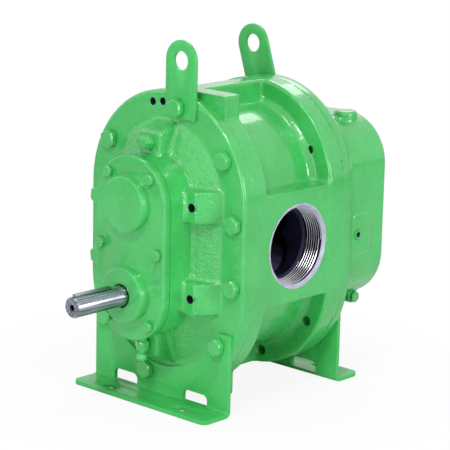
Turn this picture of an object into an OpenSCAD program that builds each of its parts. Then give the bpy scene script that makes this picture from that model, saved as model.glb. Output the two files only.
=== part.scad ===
// Rotary lobe blower with two shafts one above the other and a flow path from side to side.
// Drive shaft points along -Y, the timing gears are at the +Y end and the ports face +X and -X.
// The origin is the centre of the four anchor slots, on the floor.

/* [Shafts and rotors] */
// Distance between the two shaft axes
shaft_spacing = 127; // [122:0.5:130]
// Height of the drive shaft axis above the floor
shaft_height = 162.5; // [161:0.5:176]
// Diameter of the drive shaft's free end
shaft_end_d = 28.575; // [24:0.5:31]
// Length of the free end in front of the hub
shaft_reach = 90; // [75:1:120]
// Diameter of both shafts inside the rotors
shaft_core_d = 48; // [44:1:54]
// Inset of each rotor's profile from the true rolling curve
rotor_clearance = 0.14; // [0.1:0.01:0.3]
// Gap between a rotor's end and the head plate
rotor_end_gap = 0.25; // [0.15:0.05:0.5]
// Gap between a rotor's tip and the casing
tip_gap = 0.25; // [0.15:0.05:0.5]
// Side of the square key on the free end
key_size = 6.35; // [5:0.5:8]
// Length of the key on the free end
key_length = 66; // [40:1:70]
// Distance from the shaft's tip to the key
key_inset = 4; // [2:0.5:8]

/* [Bearings and seals] */
// Bore of the ball bearings
bearing_bore_d = 40; // [37:1:41]
// Outer diameter of the ball bearings
bearing_od = 90; // [86:1:92]
// Width of the ball bearings
bearing_w = 23; // [20:1:25]
// Number of balls in each bearing
ball_count = 10; // [8:1:11]
// Outer diameter of the seals in the head plates
plate_seal_od = 66; // [62:1:68]
// Width of the seals in the head plates
plate_seal_w = 10; // [7:1:11]
// Outer diameter of the lip seal in the hub
lip_seal_od = 48; // [44:1:52]
// Width of the lip seal in the hub
lip_seal_w = 8; // [6:1:9]

/* [Casing] */
// Length of the rotor casing between the head plates
casing_length = 192; // [180:1:230]
// Radius of the casing flanges and head plates about each shaft
flange_r = 147; // [144.5:0.5:150]
// Thickness of each casing flange
flange_t = 30; // [28:1:38]
// Thickness of the barrel wall around the rotors
barrel_wall = 18.5; // [14:0.5:20]
// Size of the cast fillet between barrel and flange
barrel_fillet = 9; // [4:1:12]
// Distance of each port face behind the flanges' sides
port_face_inset = 1; // [0:0.5:6]
// Height of each flat port pad
port_pad_h = 158; // [150:1:166]
// Diameter of the port thread at its root circle
port_thread_d = 114; // [100:0.5:114.3]
// Depth of the port thread
port_thread_l = 33; // [28:1:38]
// Width of the chamfer at the port's mouth
port_chamfer = 1.6; // [1:0.2:3]
// Diameter of the cast passage behind the thread
port_core_d = 98; // [80:1:98]
// Reach of the square blocks on the drive-end flange, from the shaft plane
block_reach = 92; // [80:1:96]
// Height of the square blocks beyond the flange
block_rise = 1.5; // [0:0.5:4]
// Half width of the ribs along the barrel's top and bottom, at their root
rail_half_w = 18; // [16:1:24]
// Half width of the ribs at their crest
rail_top_half_w = 14; // [3:0.5:15]
// Depth of the ribs' crest below the flanges' rim
rail_drop = 1; // [0.5:0.5:6]

/* [Head plates] */
// Thickness of the head plates at the rim
plate_t = 17; // [16:0.5:24]
// Chamfer around the rim of the head plates
plate_edge = 2; // [1:0.5:4]
// Radius of the cone round the bearing housing, at its foot
skirt_r = 107; // [96:1:110]
// Height of the cone on the head plate
skirt_h = 13; // [8:0.5:16]

/* [Drive end] */
// Radius of the bearing housing about each shaft
housing_r = 65.25; // [62:0.25:68]
// Depth of the bearing housing in front of the head plate
housing_depth = 56; // [54:0.5:62]
// Thickness of the drive end cover
cover_t = 14; // [12:0.5:18]
// Radius of the hub and of the blank boss on the cover
hub_r = 38.5; // [36:0.5:40]
// Height of the hub and of the blank boss
hub_reach = 15; // [12.5:0.5:20]
// Half width of the top and bottom bosses
stem_half_w = 20.5; // [16:0.5:24]
// Height of the top and bottom bosses on the housing
stem_rise = 41; // [36:1:44]
// Reach of the guard lugs at the head plate
guard_lug_reach = 107.5; // [100:0.5:110]
// Height of the guard lugs
guard_lug_h = 44; // [34:1:48]
// Diameter of the tapped holes in the guard lugs
guard_hole_d = 12.7; // [9:0.1:14]
// Depth of the tapped holes in the guard lugs
guard_hole_l = 22; // [16:1:24]

/* [Gear end] */
// Half width of the gear cover
case_half_w = 142; // [136:0.5:144]
// Height of the gear cover's top above the middle
case_top = 158; // [154:1:170]
// Depth of the gear cover's box below the middle
case_low = 112; // [106:1:116]
// Corner radius of the gear cover
case_corner_r = 70; // [50:1:72]
// Radius of the oil sump round the drive shaft
sump_r = 92; // [90:0.5:94]
// Depth of the gear cover
case_depth = 89; // [88:1:110]
// Wall of the gear cover
case_wall = 8; // [6:0.5:10]
// Chamfer round the gear cover's back
case_edge = 9; // [5:1:12]
// Radius of the bearing housing inside the gear cover
inner_housing_r = 58; // [56:0.5:60]
// Number of teeth on each timing gear
gear_teeth = 40; // [32:2:48]
// Face width of the timing gears
gear_face = 25; // [20:1:26]
// Backlash between the timing gears
gear_backlash = 0.25; // [0.15:0.01:0.4]
// Radius of the oil slinger
slinger_r = 66; // [60:1:68]

/* [Feet] */
// Distance from the foot bolts to the foot's side edges
foot_margin = 21; // [17:1:26]
// Thickness of the foot plates
foot_t = 6; // [4:0.5:8]
// Reach of each foot's flange in front of its upright
foot_reach = 52; // [46:1:60]
// Height of the feet's ears
foot_ear_h = 116; // [113:1:124]
// Distance from the head plate's rim to the arch in each foot
foot_arch_inset = 32; // [31:0.5:33]
// Distance from the head plate to the anchor slots
slot_offset = 33; // [28:0.5:38]
// Half distance between the anchor slots of one foot
slot_half_x = 70; // [60:1:90]
// Width of the anchor slots
slot_w = 14.3; // [11:0.1:16]
// Length of the anchor slots
slot_l = 25; // [20:0.5:32]
// Width of the windows in the feet
window_w = 46; // [34:1:50]
// Height of the windows' top above the floor
window_top = 23; // [18:0.5:25]

/* [Lifting lugs] */
// Width of the lug straps
lug_w = 56; // [46:1:60]
// Thickness of the lug straps
lug_t = 5; // [4:0.5:8]
// Diameter of the lifting eyes
lug_eye_d = 26; // [18:0.5:30]
// Height of the lifting eyes above the lug bolt
lug_eye_rise = 64.7; // [56:0.5:90]
// Lean of the gear-end lug
lug_lean = 18; // [0:1:20]

/* [Fasteners] */
// Diameter of the head plate bolts
plate_bolt_d = 15.875; // [12:0.5:16]
// Size across flats of the head plate bolts
plate_bolt_af = 23.8; // [18:0.1:24]
// Height of the head plate bolts' heads
plate_bolt_head = 9.9; // [7:0.1:11]
// Length of thread in the casing for the head plate bolts
plate_bolt_grip = 24; // [16:1:26]
// Diameter of the cover bolts
cover_bolt_d = 9.525; // [8:0.5:10]
// Size across flats of the cover bolts
cover_bolt_af = 14.3; // [12:0.1:15]
// Height of the cover bolts' heads
cover_bolt_head = 6.2; // [5:0.1:8]
// Diameter of the dowel pins
dowel_d = 10; // [8:0.5:12]
// Thickness of the cover gaskets
gasket_t = 0.8; // [0.5:0.1:1.5]
// Radial clearance of running and sliding fits
fit = 0.03; // [0.02:0.01:0.08]

/* [Hidden] */
$fn = 96;

over = 1;
lap = 0.02;
cast_green = [0.36, 0.75, 0.45];
steel = [0.62, 0.63, 0.66];
dark_steel = [0.3, 0.3, 0.33];
iron = [0.45, 0.45, 0.46];
rubber = [0.08, 0.08, 0.09];

z_low = shaft_height;
z_high = shaft_height + shaft_spacing;
z_mid = (z_low + z_high) / 2;
axes_z = [z_low, z_high];

// Planes across the machine, as distances from its middle
y_joint = casing_length / 2;
y_plate = y_joint + plate_t;
y_house = y_plate + housing_depth;
y_seat = y_house + gasket_t;
y_cover = y_house + cover_t;
y_hub = y_cover + hub_reach;
y_tip = y_hub + shaft_reach;
y_lip = -y_hub + 6;
y_case = y_plate + case_depth;
y_foot = y_plate + foot_t;
y_slot = y_plate + slot_offset;

// Bearings sit against a shoulder outside each head plate
shoulder = 8;
y_brg_in = y_plate + shoulder;
y_brg_out = y_brg_in + bearing_w;
retainer_t = 4;
y_retainer = y_brg_out + retainer_t;
gear_gap = 5;
y_gear = y_retainer + gear_gap;
y_gear_out = y_gear + gear_face;
slinger_t = 2.5;
y_slinger = y_gear_out + 1;
nut_t = 8;
y_nut = y_slinger + slinger_t;
y_nut_out = y_nut + nut_t;
y_shaft_end = y_nut_out + 1;

// Rotor and gear geometry
pitch_r = shaft_spacing / 2;
roll_r = pitch_r / 4;
tip_r = pitch_r + 2 * roll_r - rotor_clearance;
bore_r = tip_r + tip_gap;
barrel_r = bore_r + barrel_wall;
rotor_half = y_joint - rotor_end_gap;
profile_steps = 24;
gear_module = shaft_spacing / gear_teeth;
pressure_angle = 20;

ball_r = bearing_w * 0.326;
ball_pitch_r = (bearing_bore_d + bearing_od) / 4;
race_gap = 0.25;
ring_gap = 4.5;
cage_half_t = 2;
cage_half_w = ball_r + 1.4;

core_r = shaft_core_d / 2;
seat_r = bearing_bore_d / 2;
gear_seat_r = seat_r - 1;
thread_r = seat_r - 2;
seal_land_r = shaft_end_d / 2 + 1.7;
nut_r = seat_r + 7;
nut_slot_w = 6;
gear_hub_r = seat_r + 7;
gear_key_w = 6;
gear_key_h = 6;

port_face_x = flange_r - port_face_inset;
foot_arch_r = flange_r - foot_arch_inset;

// Pattern of the head plate bolts, as offsets from the middle, seen from the drive end
corner_x = flange_r * 0.74;
corner_z = pitch_r + flange_r * 0.442;
side_x = flange_r - 18.5;
side_z = shaft_spacing * 0.345;
crown_x = 25;
crown_z = pitch_r + flange_r - 20.5;
jack_ring_r = flange_r - 16;
jack_r = 5.5;
jack_spots = [for (a = [12.1, 3.7]) [-jack_ring_r * sin(a), pitch_r + jack_ring_r * cos(a)]];
free_bolts = [for (s = [-1, 1]) each [[s * corner_x, corner_z], [s * side_x, side_z], [s * side_x, -side_z]]];
foot_bolt_spots = [[-corner_x, -corner_z], [corner_x, -corner_z], [-crown_x, -crown_z]];
lug_bolt_spot = [crown_x, crown_z];
bolt_spots = concat(free_bolts, foot_bolt_spots, [lug_bolt_spot]);
bolt_hole_r = plate_bolt_d / 2 + 0.25;
tap_r = plate_bolt_d * 0.42;
foot_half_w = corner_x + foot_margin;
dowel_spots = [[flange_r * 0.48, pitch_r + flange_r * 0.71], [-flange_r * 0.48, -pitch_r - flange_r * 0.71]];
dowel_half = 10;

cover_ring_r = housing_r - cover_bolt_d / 2 - 5.3;
cover_bolt_spots = [for (s = [-1, 1]) each [
    [s * cover_ring_r * cos(44.3), pitch_r + cover_ring_r * sin(44.3)], [s * (cover_ring_r - 1.4), 0],
    [s * cover_ring_r * cos(44.3), -pitch_r - cover_ring_r * sin(44.3)]]];
cover_bolt_grip = 20;
cover_hole_r = cover_bolt_d / 2 + 0.2;

// Bolts that the gear cover hides, and the cover's own bolts
bolt_room = case_wall + plate_bolt_af / sqrt(3) + 3;
inner_x = case_half_w - bolt_room - 4;
corner_reach = (case_corner_r - bolt_room) / sqrt(2) - case_corner_r;
inner_bolts = [for (s = [-1, 1]) each [
    [s * (case_half_w + corner_reach), case_top + corner_reach], [s * inner_x, side_z], [s * inner_x, -side_z]]];
gear_bolt_spots = concat(inner_bolts, foot_bolt_spots, [lug_bolt_spot]);
case_boss_r = 9.5;
case_bolt_spots = [for (s = [-1, 1]) each [
    [s * case_half_w * 0.33, case_top - 12], [s * (case_half_w - 25), 0],
    [s * sump_r * 0.63, -pitch_r - sump_r * 0.59]]];

guard_face = y_plate + 30;
guard_step = 19.5;
guard_hole_x = housing_r + 12.5;

// Cylinder along Y between two distances from the middle, at an offset from the machine's centre line
module rod(ya, yb, r, x = 0, z = z_mid) {
    translate([x, yb, z]) rotate([90, 0, 0]) cylinder(h = yb - ya, r = r);
}

// Cone along Y, radius ra at ya and rb at yb
module cone(ya, yb, ra, rb, x = 0, z = z_mid) {
    translate([x, yb, z]) rotate([90, 0, 0]) cylinder(h = yb - ya, r1 = rb, r2 = ra);
}

// Obround about both shafts, between two planes
module obround(ya, yb, r) {
    for (z = axes_z) rod(ya, yb, r, 0, z);
    translate([-r, ya, z_low]) cube([2 * r, yb - ya, shaft_spacing]);
}

// Obround whose radius changes from ra at ya to rb at yb
module tapered_obround(ya, yb, ra, rb) {
    for (z = axes_z) cone(ya, yb, ra, rb, 0, z);
    translate([0, 0, z_low]) linear_extrude(height = shaft_spacing)
        polygon([[-ra, ya], [ra, ya], [rb, yb], [-rb, yb]]);
}

// Holes along Y at a list of offsets from the middle
module drill(spots, ya, yb, r) {
    for (p = spots) rod(ya, yb, r, p[0], z_mid + p[1]);
}

// Hexagonal head and shank, head on the -Y side of the plane y
module hex_bolt(p, y, af, head, d, grip) {
    translate([p[0], y, z_mid + p[1]]) rotate([90, 0, 0]) {
        cylinder(h = head, r = af / sqrt(3), $fn = 6);
        translate([0, 0, -grip]) cylinder(h = grip, r = d / 2);
    }
}

// Half turn about the vertical axis, from the drive end to the gear end
module gear_end() {
    rotate([0, 0, 180]) children();
}

// Plan outline with one rounded end, used for lugs and slots
module slot_hole(x, y, l, w) {
    for (s = [-1, 1]) translate([x + s * (l - w) / 2, y, -over]) cylinder(h = foot_t + 2 * over, r = w / 2);
    translate([x - (l - w) / 2, y - w / 2, -over]) cube([l - w, w, foot_t + 2 * over]);
}

// Rotor casing

module port(side) {
    mouth_r = port_thread_d / 2;
    core_x = port_face_x - port_thread_l;
    translate([side * port_face_x, 0, z_mid]) rotate([0, -side * 90, 0]) {
        translate([0, 0, -over]) cylinder(h = port_thread_l + over, r = mouth_r);
        translate([0, 0, -over]) cylinder(h = over + port_chamfer, r1 = mouth_r + port_chamfer + over, r2 = mouth_r);
        cylinder(h = port_face_x - bore_r / 3, r = port_core_d / 2);
    }
}

module barrel() {
    root = y_joint - flange_t;
    obround(-root - over, root + over, barrel_r);
    for (s = [0, 180]) rotate([0, 0, s])
        tapered_obround(root - barrel_fillet, root + over, barrel_r - 0.5, barrel_r + barrel_fillet);
}

module flanges() {
    for (s = [0, 180]) rotate([0, 0, s]) obround(y_joint - flange_t, y_joint, flange_r);
    top = pitch_r + flange_r + block_rise;
    translate([-rail_half_w, -y_joint, z_mid - top]) cube([block_reach + rail_half_w, flange_t, 2 * top]);
}

module port_pads() {
    translate([-port_face_x, -y_joint + over, z_mid - port_pad_h / 2])
        cube([2 * port_face_x, casing_length - 2 * over, port_pad_h]);
}

// Tapered ribs along the barrel's crown and belly
module rails() {
    top = pitch_r + flange_r - rail_drop;
    for (turn = [0, 180]) translate([0, y_joint - over, z_mid]) rotate([90, turn, 0])
        linear_extrude(height = casing_length - 2 * over)
            polygon([[-rail_half_w, pitch_r], [rail_half_w, pitch_r], [rail_top_half_w, top], [-rail_top_half_w, top]]);
}

module casing() {
    color(cast_green) difference() {
        union() {
            barrel();
            flanges();
            port_pads();
            rails();
        }
        for (z = axes_z) rod(-y_joint - over, y_joint + over, bore_r, 0, z);
        for (side = [-1, 1]) port(side);
        drill(bolt_spots, -y_joint - over, -y_joint + plate_bolt_grip + 1, bolt_hole_r);
        drill(bolt_spots, -y_joint, -y_joint + flange_t + over, tap_r);
        gear_end() drill(gear_bolt_spots, -y_joint - over, -y_joint + plate_bolt_grip + 1, bolt_hole_r);
        gear_end() drill(gear_bolt_spots, -y_joint, -y_joint + flange_t + over, tap_r);
        for (s = [0, 180]) rotate([0, 0, s])
            drill(dowel_spots, -y_joint - over, -y_joint + dowel_half + fit, dowel_d / 2 + fit);
    }
}

// Head plates

module plate_blank() {
    obround(-y_plate + plate_edge - lap, -y_joint, flange_r);
    tapered_obround(-y_plate, -y_plate + plate_edge, flange_r - plate_edge, flange_r);
}

module plate_holes(spots) {
    drill(spots, -y_plate - over, -y_joint + over, bolt_hole_r);
    drill([for (p = jack_spots) each [p, -p]], -y_plate - over, -y_joint + over, jack_r);
    drill(dowel_spots, -y_joint - dowel_half - fit, -y_joint + over, dowel_d / 2 + fit);
    for (z = axes_z) {
        rod(-y_brg_in - over, -y_joint + over, core_r + 0.5, 0, z);
        rod(-y_brg_in - over, -y_joint - 1, plate_seal_od / 2 + fit, 0, z);
    }
}

// Square lug with a tapped hole, on the side of the bearing housing
module guard_lug(side, z) {
    slope = [[0, -guard_face], [housing_r + guard_step, -guard_face], [guard_lug_reach, -y_plate - over / 2],
        [guard_lug_reach, -y_plate + over], [0, -y_plate + over]];
    translate([0, 0, z - guard_lug_h / 2]) mirror([side < 0 ? 1 : 0, 0, 0])
        linear_extrude(height = guard_lug_h) polygon(slope);
}

// Square boss above or below the bearing housing, sloping out towards the head plate
module stem(turn) {
    front = -y_plate - 34;
    low = stem_rise - 12.5;
    translate([0, 0, z_mid]) rotate([0, turn, 0]) translate([-stem_half_w, 0, pitch_r])
        rotate([90, 0, 90]) linear_extrude(height = 2 * stem_half_w)
            polygon([[front, 0], [front, housing_r + low], [-y_plate + over, housing_r + stem_rise], [-y_plate + over, 0]]);
}

module drive_head_plate() {
    color(cast_green) difference() {
        union() {
            plate_blank();
            obround(-y_house, -y_plate + over, housing_r);
            tapered_obround(-y_plate - skirt_h, -y_plate, housing_r + 5, skirt_r);
            for (side = [-1, 1], z = axes_z) guard_lug(side, z);
            for (turn = [0, 180]) stem(turn);
        }
        plate_holes(bolt_spots);
        for (z = axes_z) rod(-y_house - over, -y_brg_in, bearing_od / 2 + fit, 0, z);
        drill(cover_bolt_spots, -y_house - over, -y_house + cover_bolt_grip + 2, cover_hole_r);
        for (side = [-1, 1], z = axes_z)
            rod(-guard_face - over, -guard_face + guard_hole_l, guard_hole_d / 2, side * guard_hole_x, z);
        rod(-y_plate - 34 - over, -y_plate - 34 + 18, filler_r + fit, 0, z_high + filler_rise);
        translate([relief_x, -relief_y, z_low - housing_r - over]) cylinder(h = 12 + over, r = relief_r + fit);
    }
}

module gear_head_plate() {
    color(cast_green) gear_end() difference() {
        union() {
            plate_blank();
            obround(-y_brg_out, -y_plate + over, inner_housing_r);
        }
        plate_holes(gear_bolt_spots);
        for (z = axes_z) rod(-y_brg_out - over, -y_brg_in, bearing_od / 2 + fit, 0, z);
        drill(case_bolt_turned, -y_plate - over, -y_plate + case_bolt_grip + 1, cover_hole_r);
        for (z = axes_z) for (a = retainer_angles)
            rod(-y_brg_out - over, -y_brg_out + 12, retainer_screw_r + 0.15, retainer_ring_r * cos(a), z + retainer_ring_r * sin(a));
    }
}

// Drive end cover

cover_spigot_r = bearing_od / 2;
module drive_end_cover() {
    color(cast_green) difference() {
        union() {
            tapered_obround(-y_cover, -y_cover + 1.5, housing_r - 1.5, housing_r);
            obround(-y_cover + 1.5 - lap, -y_seat, housing_r);
            for (z = axes_z) {
                rod(-y_hub + 1.5 - lap, -y_cover + over, hub_r, 0, z);
                cone(-y_hub, -y_hub + 1.5, hub_r - 1.5, hub_r, 0, z);
                rod(-y_seat - over, -y_brg_out, cover_spigot_r, 0, z);
            }
        }
        for (z = axes_z) rod(-y_cover + 4, -y_brg_out + over, cover_spigot_r - 7, 0, z);
        rod(-y_hub - over, -y_brg_out + over, shaft_end_d / 2 + 2.6, 0, z_low);
        rod(y_lip, -y_cover + 4 + over, lip_seal_od / 2 + fit, 0, z_low);
        drill(cover_bolt_spots, -y_cover - over, -y_seat + over, cover_hole_r);
    }
}

module cover_gasket() {
    color(rubber) difference() {
        obround(-y_seat, -y_house, housing_r - 1);
        for (z = axes_z) rod(-y_seat - over, -y_house + over, cover_spigot_r + 0.5, 0, z);
        drill(cover_bolt_spots, -y_seat - over, -y_house + over, cover_hole_r + 0.3);
    }
}

// Gear cover

case_bolt_grip = 14;
case_bolt_turned = [for (p = case_bolt_spots) [-p[0], p[1]]];
y_case_seat = y_plate + gasket_t;
pad_x = case_half_w + 2.5;
pad_y = y_plate + 29;
pad_z = -5.5;
pad_half = [17, 28.5];
level_r = 7;
level_y = pad_y - 9;
drain_x = case_half_w - 38;
drain_y = y_plate + case_depth * 0.74;
drain_z = -pitch_r - sump_r * 0.544;
drain_r = 6;
breather_x = -case_half_w * 0.65;
breather_y = y_plate + case_depth * 0.52;
breather_r = 9;
breather_boss_r = 17;
breather_boss_h = 7;

// Slab of the cover's outline, inset by ia at ya and by ib at yb
module case_slab(ya, yb, ia, ib) {
    cx = case_half_w - case_corner_r;
    hi = case_top - case_corner_r;
    lo = -case_low + case_corner_r;
    for (s = [-1, 1], z = [lo, hi]) cone(ya, yb, case_corner_r - ia, case_corner_r - ib, s * cx, z_mid + z);
    translate([0, 0, z_mid + lo]) linear_extrude(height = hi - lo) polygon([
        [-case_half_w + ia, ya], [case_half_w - ia, ya], [case_half_w - ib, yb], [-case_half_w + ib, yb]]);
    translate([-cx, 0, z_mid]) rotate([90, 0, 90]) linear_extrude(height = 2 * cx) polygon([
        [ya, -case_low + ia], [ya, case_top - ia], [yb, case_top - ib], [yb, -case_low + ib]]);
    cone(ya, yb, sump_r - ia, sump_r - ib, 0, z_low);
}

// Columns of the cover's bolts, the side ones joined to the wall by a web
module case_bosses(ya, yb) {
    drill(case_bolt_spots, ya, yb, case_boss_r);
    for (s = [-1, 1]) translate([s * (case_half_w - case_wall - case_boss_r) - 10, ya, z_mid - case_boss_r / 2])
        cube([20, yb - ya, case_boss_r]);
}

// Boss of the breather and its blank twin, reaching down below the cover's top
module breather_bosses(reach) {
    for (s = [-1, 1]) translate([s * breather_x, breather_y, z_mid + case_top - reach])
        cylinder(h = reach + breather_boss_h, r = breather_boss_r);
}

module case_hollow() {
    back = y_case - case_wall;
    difference() {
        union() {
            case_slab(y_plate, back - case_edge + lap, case_wall, case_wall);
            case_slab(back - case_edge, back, case_wall, case_wall + case_edge);
        }
        case_bosses(y_plate - over, y_case);
        breather_bosses(case_top / 6);
    }
}

module gear_cover() {
    color(cast_green) difference() {
        union() {
            case_slab(y_case_seat, y_case - case_edge + lap, 0, 0);
            case_slab(y_case - case_edge, y_case, 0, case_edge);
            translate([pad_x - 20, pad_y - pad_half[0], z_mid + pad_z - pad_half[1]])
                cube([20, 2 * pad_half[0], 2 * pad_half[1]]);
            breather_bosses(case_top / 8);
            translate([drain_x / 2, drain_y, z_mid + drain_z]) rotate([0, 90, 0]) cylinder(h = drain_x / 2, r = drain_r + 4);
        }
        case_hollow();
        drill(case_bolt_spots, y_plate - over, y_case + over, cover_hole_r);
        translate([pad_x - 14, level_y, z_mid + pad_z]) rotate([0, 90, 0]) cylinder(h = 20, r = level_r + fit);
        translate([breather_x, breather_y, z_mid + case_top - case_top / 4]) cylinder(h = case_top / 2, r = breather_r + fit);
        translate([drain_x - 36, drain_y, z_mid + drain_z]) rotate([0, 90, 0]) cylinder(h = 44, r = drain_r + fit);
    }
}

module gear_cover_gasket() {
    color(rubber) difference() {
        case_slab(y_plate, y_case_seat, 1, 1);
        difference() {
            case_slab(y_plate - over, y_case_seat + over, case_wall, case_wall);
            case_bosses(y_plate - 2 * over, y_case_seat + 2 * over);
        }
        drill(case_bolt_spots, y_plate - over, y_case_seat + over, cover_hole_r + 0.3);
    }
}

// Feet and lifting lugs

bend_r = foot_t + 3;
function arc(cx, cy, r, a0, a1, n) = [for (i = [0:n]) [cx + r * cos(a0 + (a1 - a0) * i / n), cy + r * sin(a0 + (a1 - a0) * i / n)]];

module foot_profile() {
    inner = bend_r - foot_t;
    heel = -y_plate - bend_r;
    polygon(concat(
        [[-y_plate - foot_reach, 0]],
        arc(heel, bend_r, bend_r, -90, 0, 8),
        [[-y_plate, foot_ear_h], [-y_foot, foot_ear_h]],
        arc(heel, bend_r, inner, 0, -90, 8),
        [[-y_plate - foot_reach, foot_t]]));
}

module foot_window(x) {
    r = 8;
    translate([x - window_w / 2, -y_foot - over, foot_t + 1]) cube([window_w, foot_t + 2 * over, window_top - foot_t - 1 - r]);
    translate([x - window_w / 2 + r, -y_foot - over, foot_t + 1]) cube([window_w - 2 * r, foot_t + 2 * over, window_top - foot_t - 1]);
    for (s = [-1, 1]) rod(-y_foot - over, -y_plate + over, r, x + s * (window_w / 2 - r), window_top - r);
}

module toe_cut(side) {
    r = 10;
    translate([side * foot_half_w, -y_plate - foot_reach, -over]) mirror([side < 0 ? 0 : 1, 0, 0]) difference() {
        translate([-over, -over, 0]) cube([r + over, r + over, foot_t + 2 * over]);
        translate([r, r, -over]) cylinder(h = foot_t + 4 * over, r = r);
    }
}

module foot() {
    color(cast_green) difference() {
        translate([-foot_half_w, 0, 0]) rotate([90, 0, 90]) linear_extrude(height = 2 * foot_half_w) foot_profile();
        rod(-y_foot - over, -y_plate + over, foot_arch_r, 0, z_low);
        for (s = [-1, 1]) {
            foot_window(s * (slot_half_x - 2));
            slot_hole(s * slot_half_x, -y_slot, slot_l, slot_w);
            toe_cut(s);
        }
        drill(foot_bolt_spots, -y_foot - over, -y_plate + over, bolt_hole_r);
    }
}

module front_foot() {
    foot();
}

module rear_foot() {
    gear_end() foot();
}

// Strap with a lifting eye, round at one lower corner, bolted at the crown of a head plate
module lifting_lug(lean) {
    half = lug_w / 2;
    corner = 23;
    foot_drop = 15;
    shift = 4;
    color(cast_green) translate([lug_bolt_spot[0], 0, z_mid + lug_bolt_spot[1]]) rotate([0, lean, 0]) difference() {
        union() {
            rod(-y_plate - lug_t, -y_plate, half, shift, lug_eye_rise);
            translate([shift - half, -y_plate - lug_t, corner - foot_drop]) cube([lug_w, lug_t, lug_eye_rise + foot_drop - corner]);
            translate([shift - half + corner, -y_plate - lug_t, -foot_drop]) cube([lug_w - corner, lug_t, corner + over]);
            rod(-y_plate - lug_t, -y_plate, corner, shift - half + corner, corner - foot_drop);
        }
        rod(-y_plate - lug_t - over, -y_plate + over, lug_eye_d / 2, shift, lug_eye_rise);
        rod(-y_plate - lug_t - over, -y_plate + over, bolt_hole_r, 0, 0);
    }
}

module front_lifting_lug() {
    lifting_lug(0);
}

module rear_lifting_lug() {
    gear_end() lifting_lug(lug_lean);
}

// Fasteners

module plate_bolts(spots, y) {
    color(cast_green) for (p = spots)
        hex_bolt(p, y, plate_bolt_af, plate_bolt_head, plate_bolt_d, plate_t + plate_bolt_grip - y_plate - y);
}

module drive_plate_bolts() {
    plate_bolts(free_bolts, -y_plate);
}

module gear_plate_bolts() {
    gear_end() plate_bolts(inner_bolts, -y_plate);
}

module foot_bolts() {
    plate_bolts(foot_bolt_spots, -y_foot);
    gear_end() plate_bolts(foot_bolt_spots, -y_foot);
}

module lug_bolts() {
    plate_bolts([lug_bolt_spot], -y_plate - lug_t);
    gear_end() plate_bolts([lug_bolt_spot], -y_plate - lug_t);
}

module cover_bolts() {
    color(cast_green) for (p = cover_bolt_spots)
        hex_bolt(p, -y_cover, cover_bolt_af, cover_bolt_head, cover_bolt_d, cover_t + cover_bolt_grip);
}

module gear_cover_bolts() {
    color(cast_green) gear_end() for (p = case_bolt_turned)
        hex_bolt(p, -y_case, cover_bolt_af, cover_bolt_head, cover_bolt_d, case_depth + case_bolt_grip);
}

module dowel_pins() {
    color(steel) for (s = [0, 180]) rotate([0, 0, s]) for (p = dowel_spots)
        rod(-y_joint - dowel_half, -y_joint + dowel_half, dowel_d / 2, p[0], z_mid + p[1]);
}

// Plugs and fittings

filler_r = 7;
filler_rise = housing_r + 15;
relief_x = 2;
relief_y = y_plate + 44;
relief_r = 6;

module filler_plug() {
    color(cast_green) {
        rod(-y_plate - 34, -y_plate - 34 + 16, filler_r, 0, z_high + filler_rise);
        translate([0, -y_plate - 34, z_high + filler_rise]) rotate([90, 0, 0]) {
            cylinder(h = 5, r = 10.5);
            cylinder(h = 15, r = 17 / sqrt(3), $fn = 6);
        }
    }
}

module relief_fitting() {
    color(cast_green) translate([relief_x, -relief_y, z_low - housing_r]) mirror([0, 0, 1]) {
        translate([0, 0, -10]) cylinder(h = 18, r = relief_r);
        translate([0, 0, 6]) cylinder(h = 10, r = 17 / sqrt(3), $fn = 6);
        translate([0, 0, 16]) cylinder(h = 5, r = 7.5);
        translate([0, 0, 21]) cylinder(h = 10, r = 6.5);
        translate([0, 0, 31]) sphere(r = 6.5);
    }
}

module oil_breather() {
    color(cast_green) translate([breather_x, breather_y, z_mid + case_top + breather_boss_h]) {
        translate([0, 0, -20]) cylinder(h = 20, r = breather_r);
        cylinder(h = 3, r = 12);
        cylinder(h = 9, r = 19 / sqrt(3), $fn = 6);
    }
}

module oil_level_plug() {
    color(cast_green) translate([pad_x, level_y, z_mid + pad_z]) rotate([0, 90, 0]) difference() {
        translate([0, 0, -10]) cylinder(h = 11, r = level_r);
        translate([0, 0, -4]) cylinder(h = 8, r = 8 / sqrt(3), $fn = 6);
    }
}

module oil_drain_plug() {
    color(cast_green) translate([drain_x, drain_y, z_mid + drain_z]) rotate([0, 90, 0]) {
        translate([0, 0, -18]) cylinder(h = 18, r = drain_r);
        cylinder(h = 4.5, r = 15 / sqrt(3), $fn = 6);
    }
}

// Seals

module lip_seal() {
    color(rubber) difference() {
        rod(y_lip, y_lip + lip_seal_w, lip_seal_od / 2, 0, z_low);
        rod(y_lip - over, y_lip + lip_seal_w + over, seal_land_r + fit, 0, z_low);
        cone(y_lip - over, y_lip + 3, seal_land_r + 5, seal_land_r + 1.5, 0, z_low);
    }
}

module plate_seals() {
    color(dark_steel) for (s = [-1, 1], z = axes_z) difference() {
        rod(s * (y_joint + 1 + plate_seal_w / 2) - plate_seal_w / 2, s * (y_joint + 1 + plate_seal_w / 2) + plate_seal_w / 2,
            plate_seal_od / 2, 0, z);
        rod(s * y_plate - plate_t - over, s * y_plate + plate_t + over, core_r + fit, 0, z);
    }
}

// Ball bearings, each drawn about a shaft with its inner face at y_brg_in

module race_groove(z, yc) {
    translate([0, yc, z]) rotate([90, 0, 0]) rotate_extrude() translate([ball_pitch_r, 0]) circle(r = ball_r + race_gap);
}

module bearing_ring(s, z, ra, rb) {
    yc = s * (y_brg_in + y_brg_out) / 2;
    difference() {
        rod(yc - bearing_w / 2, yc + bearing_w / 2, rb, 0, z);
        rod(yc - bearing_w, yc + bearing_w, ra, 0, z);
        race_groove(z, yc);
    }
}

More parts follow.
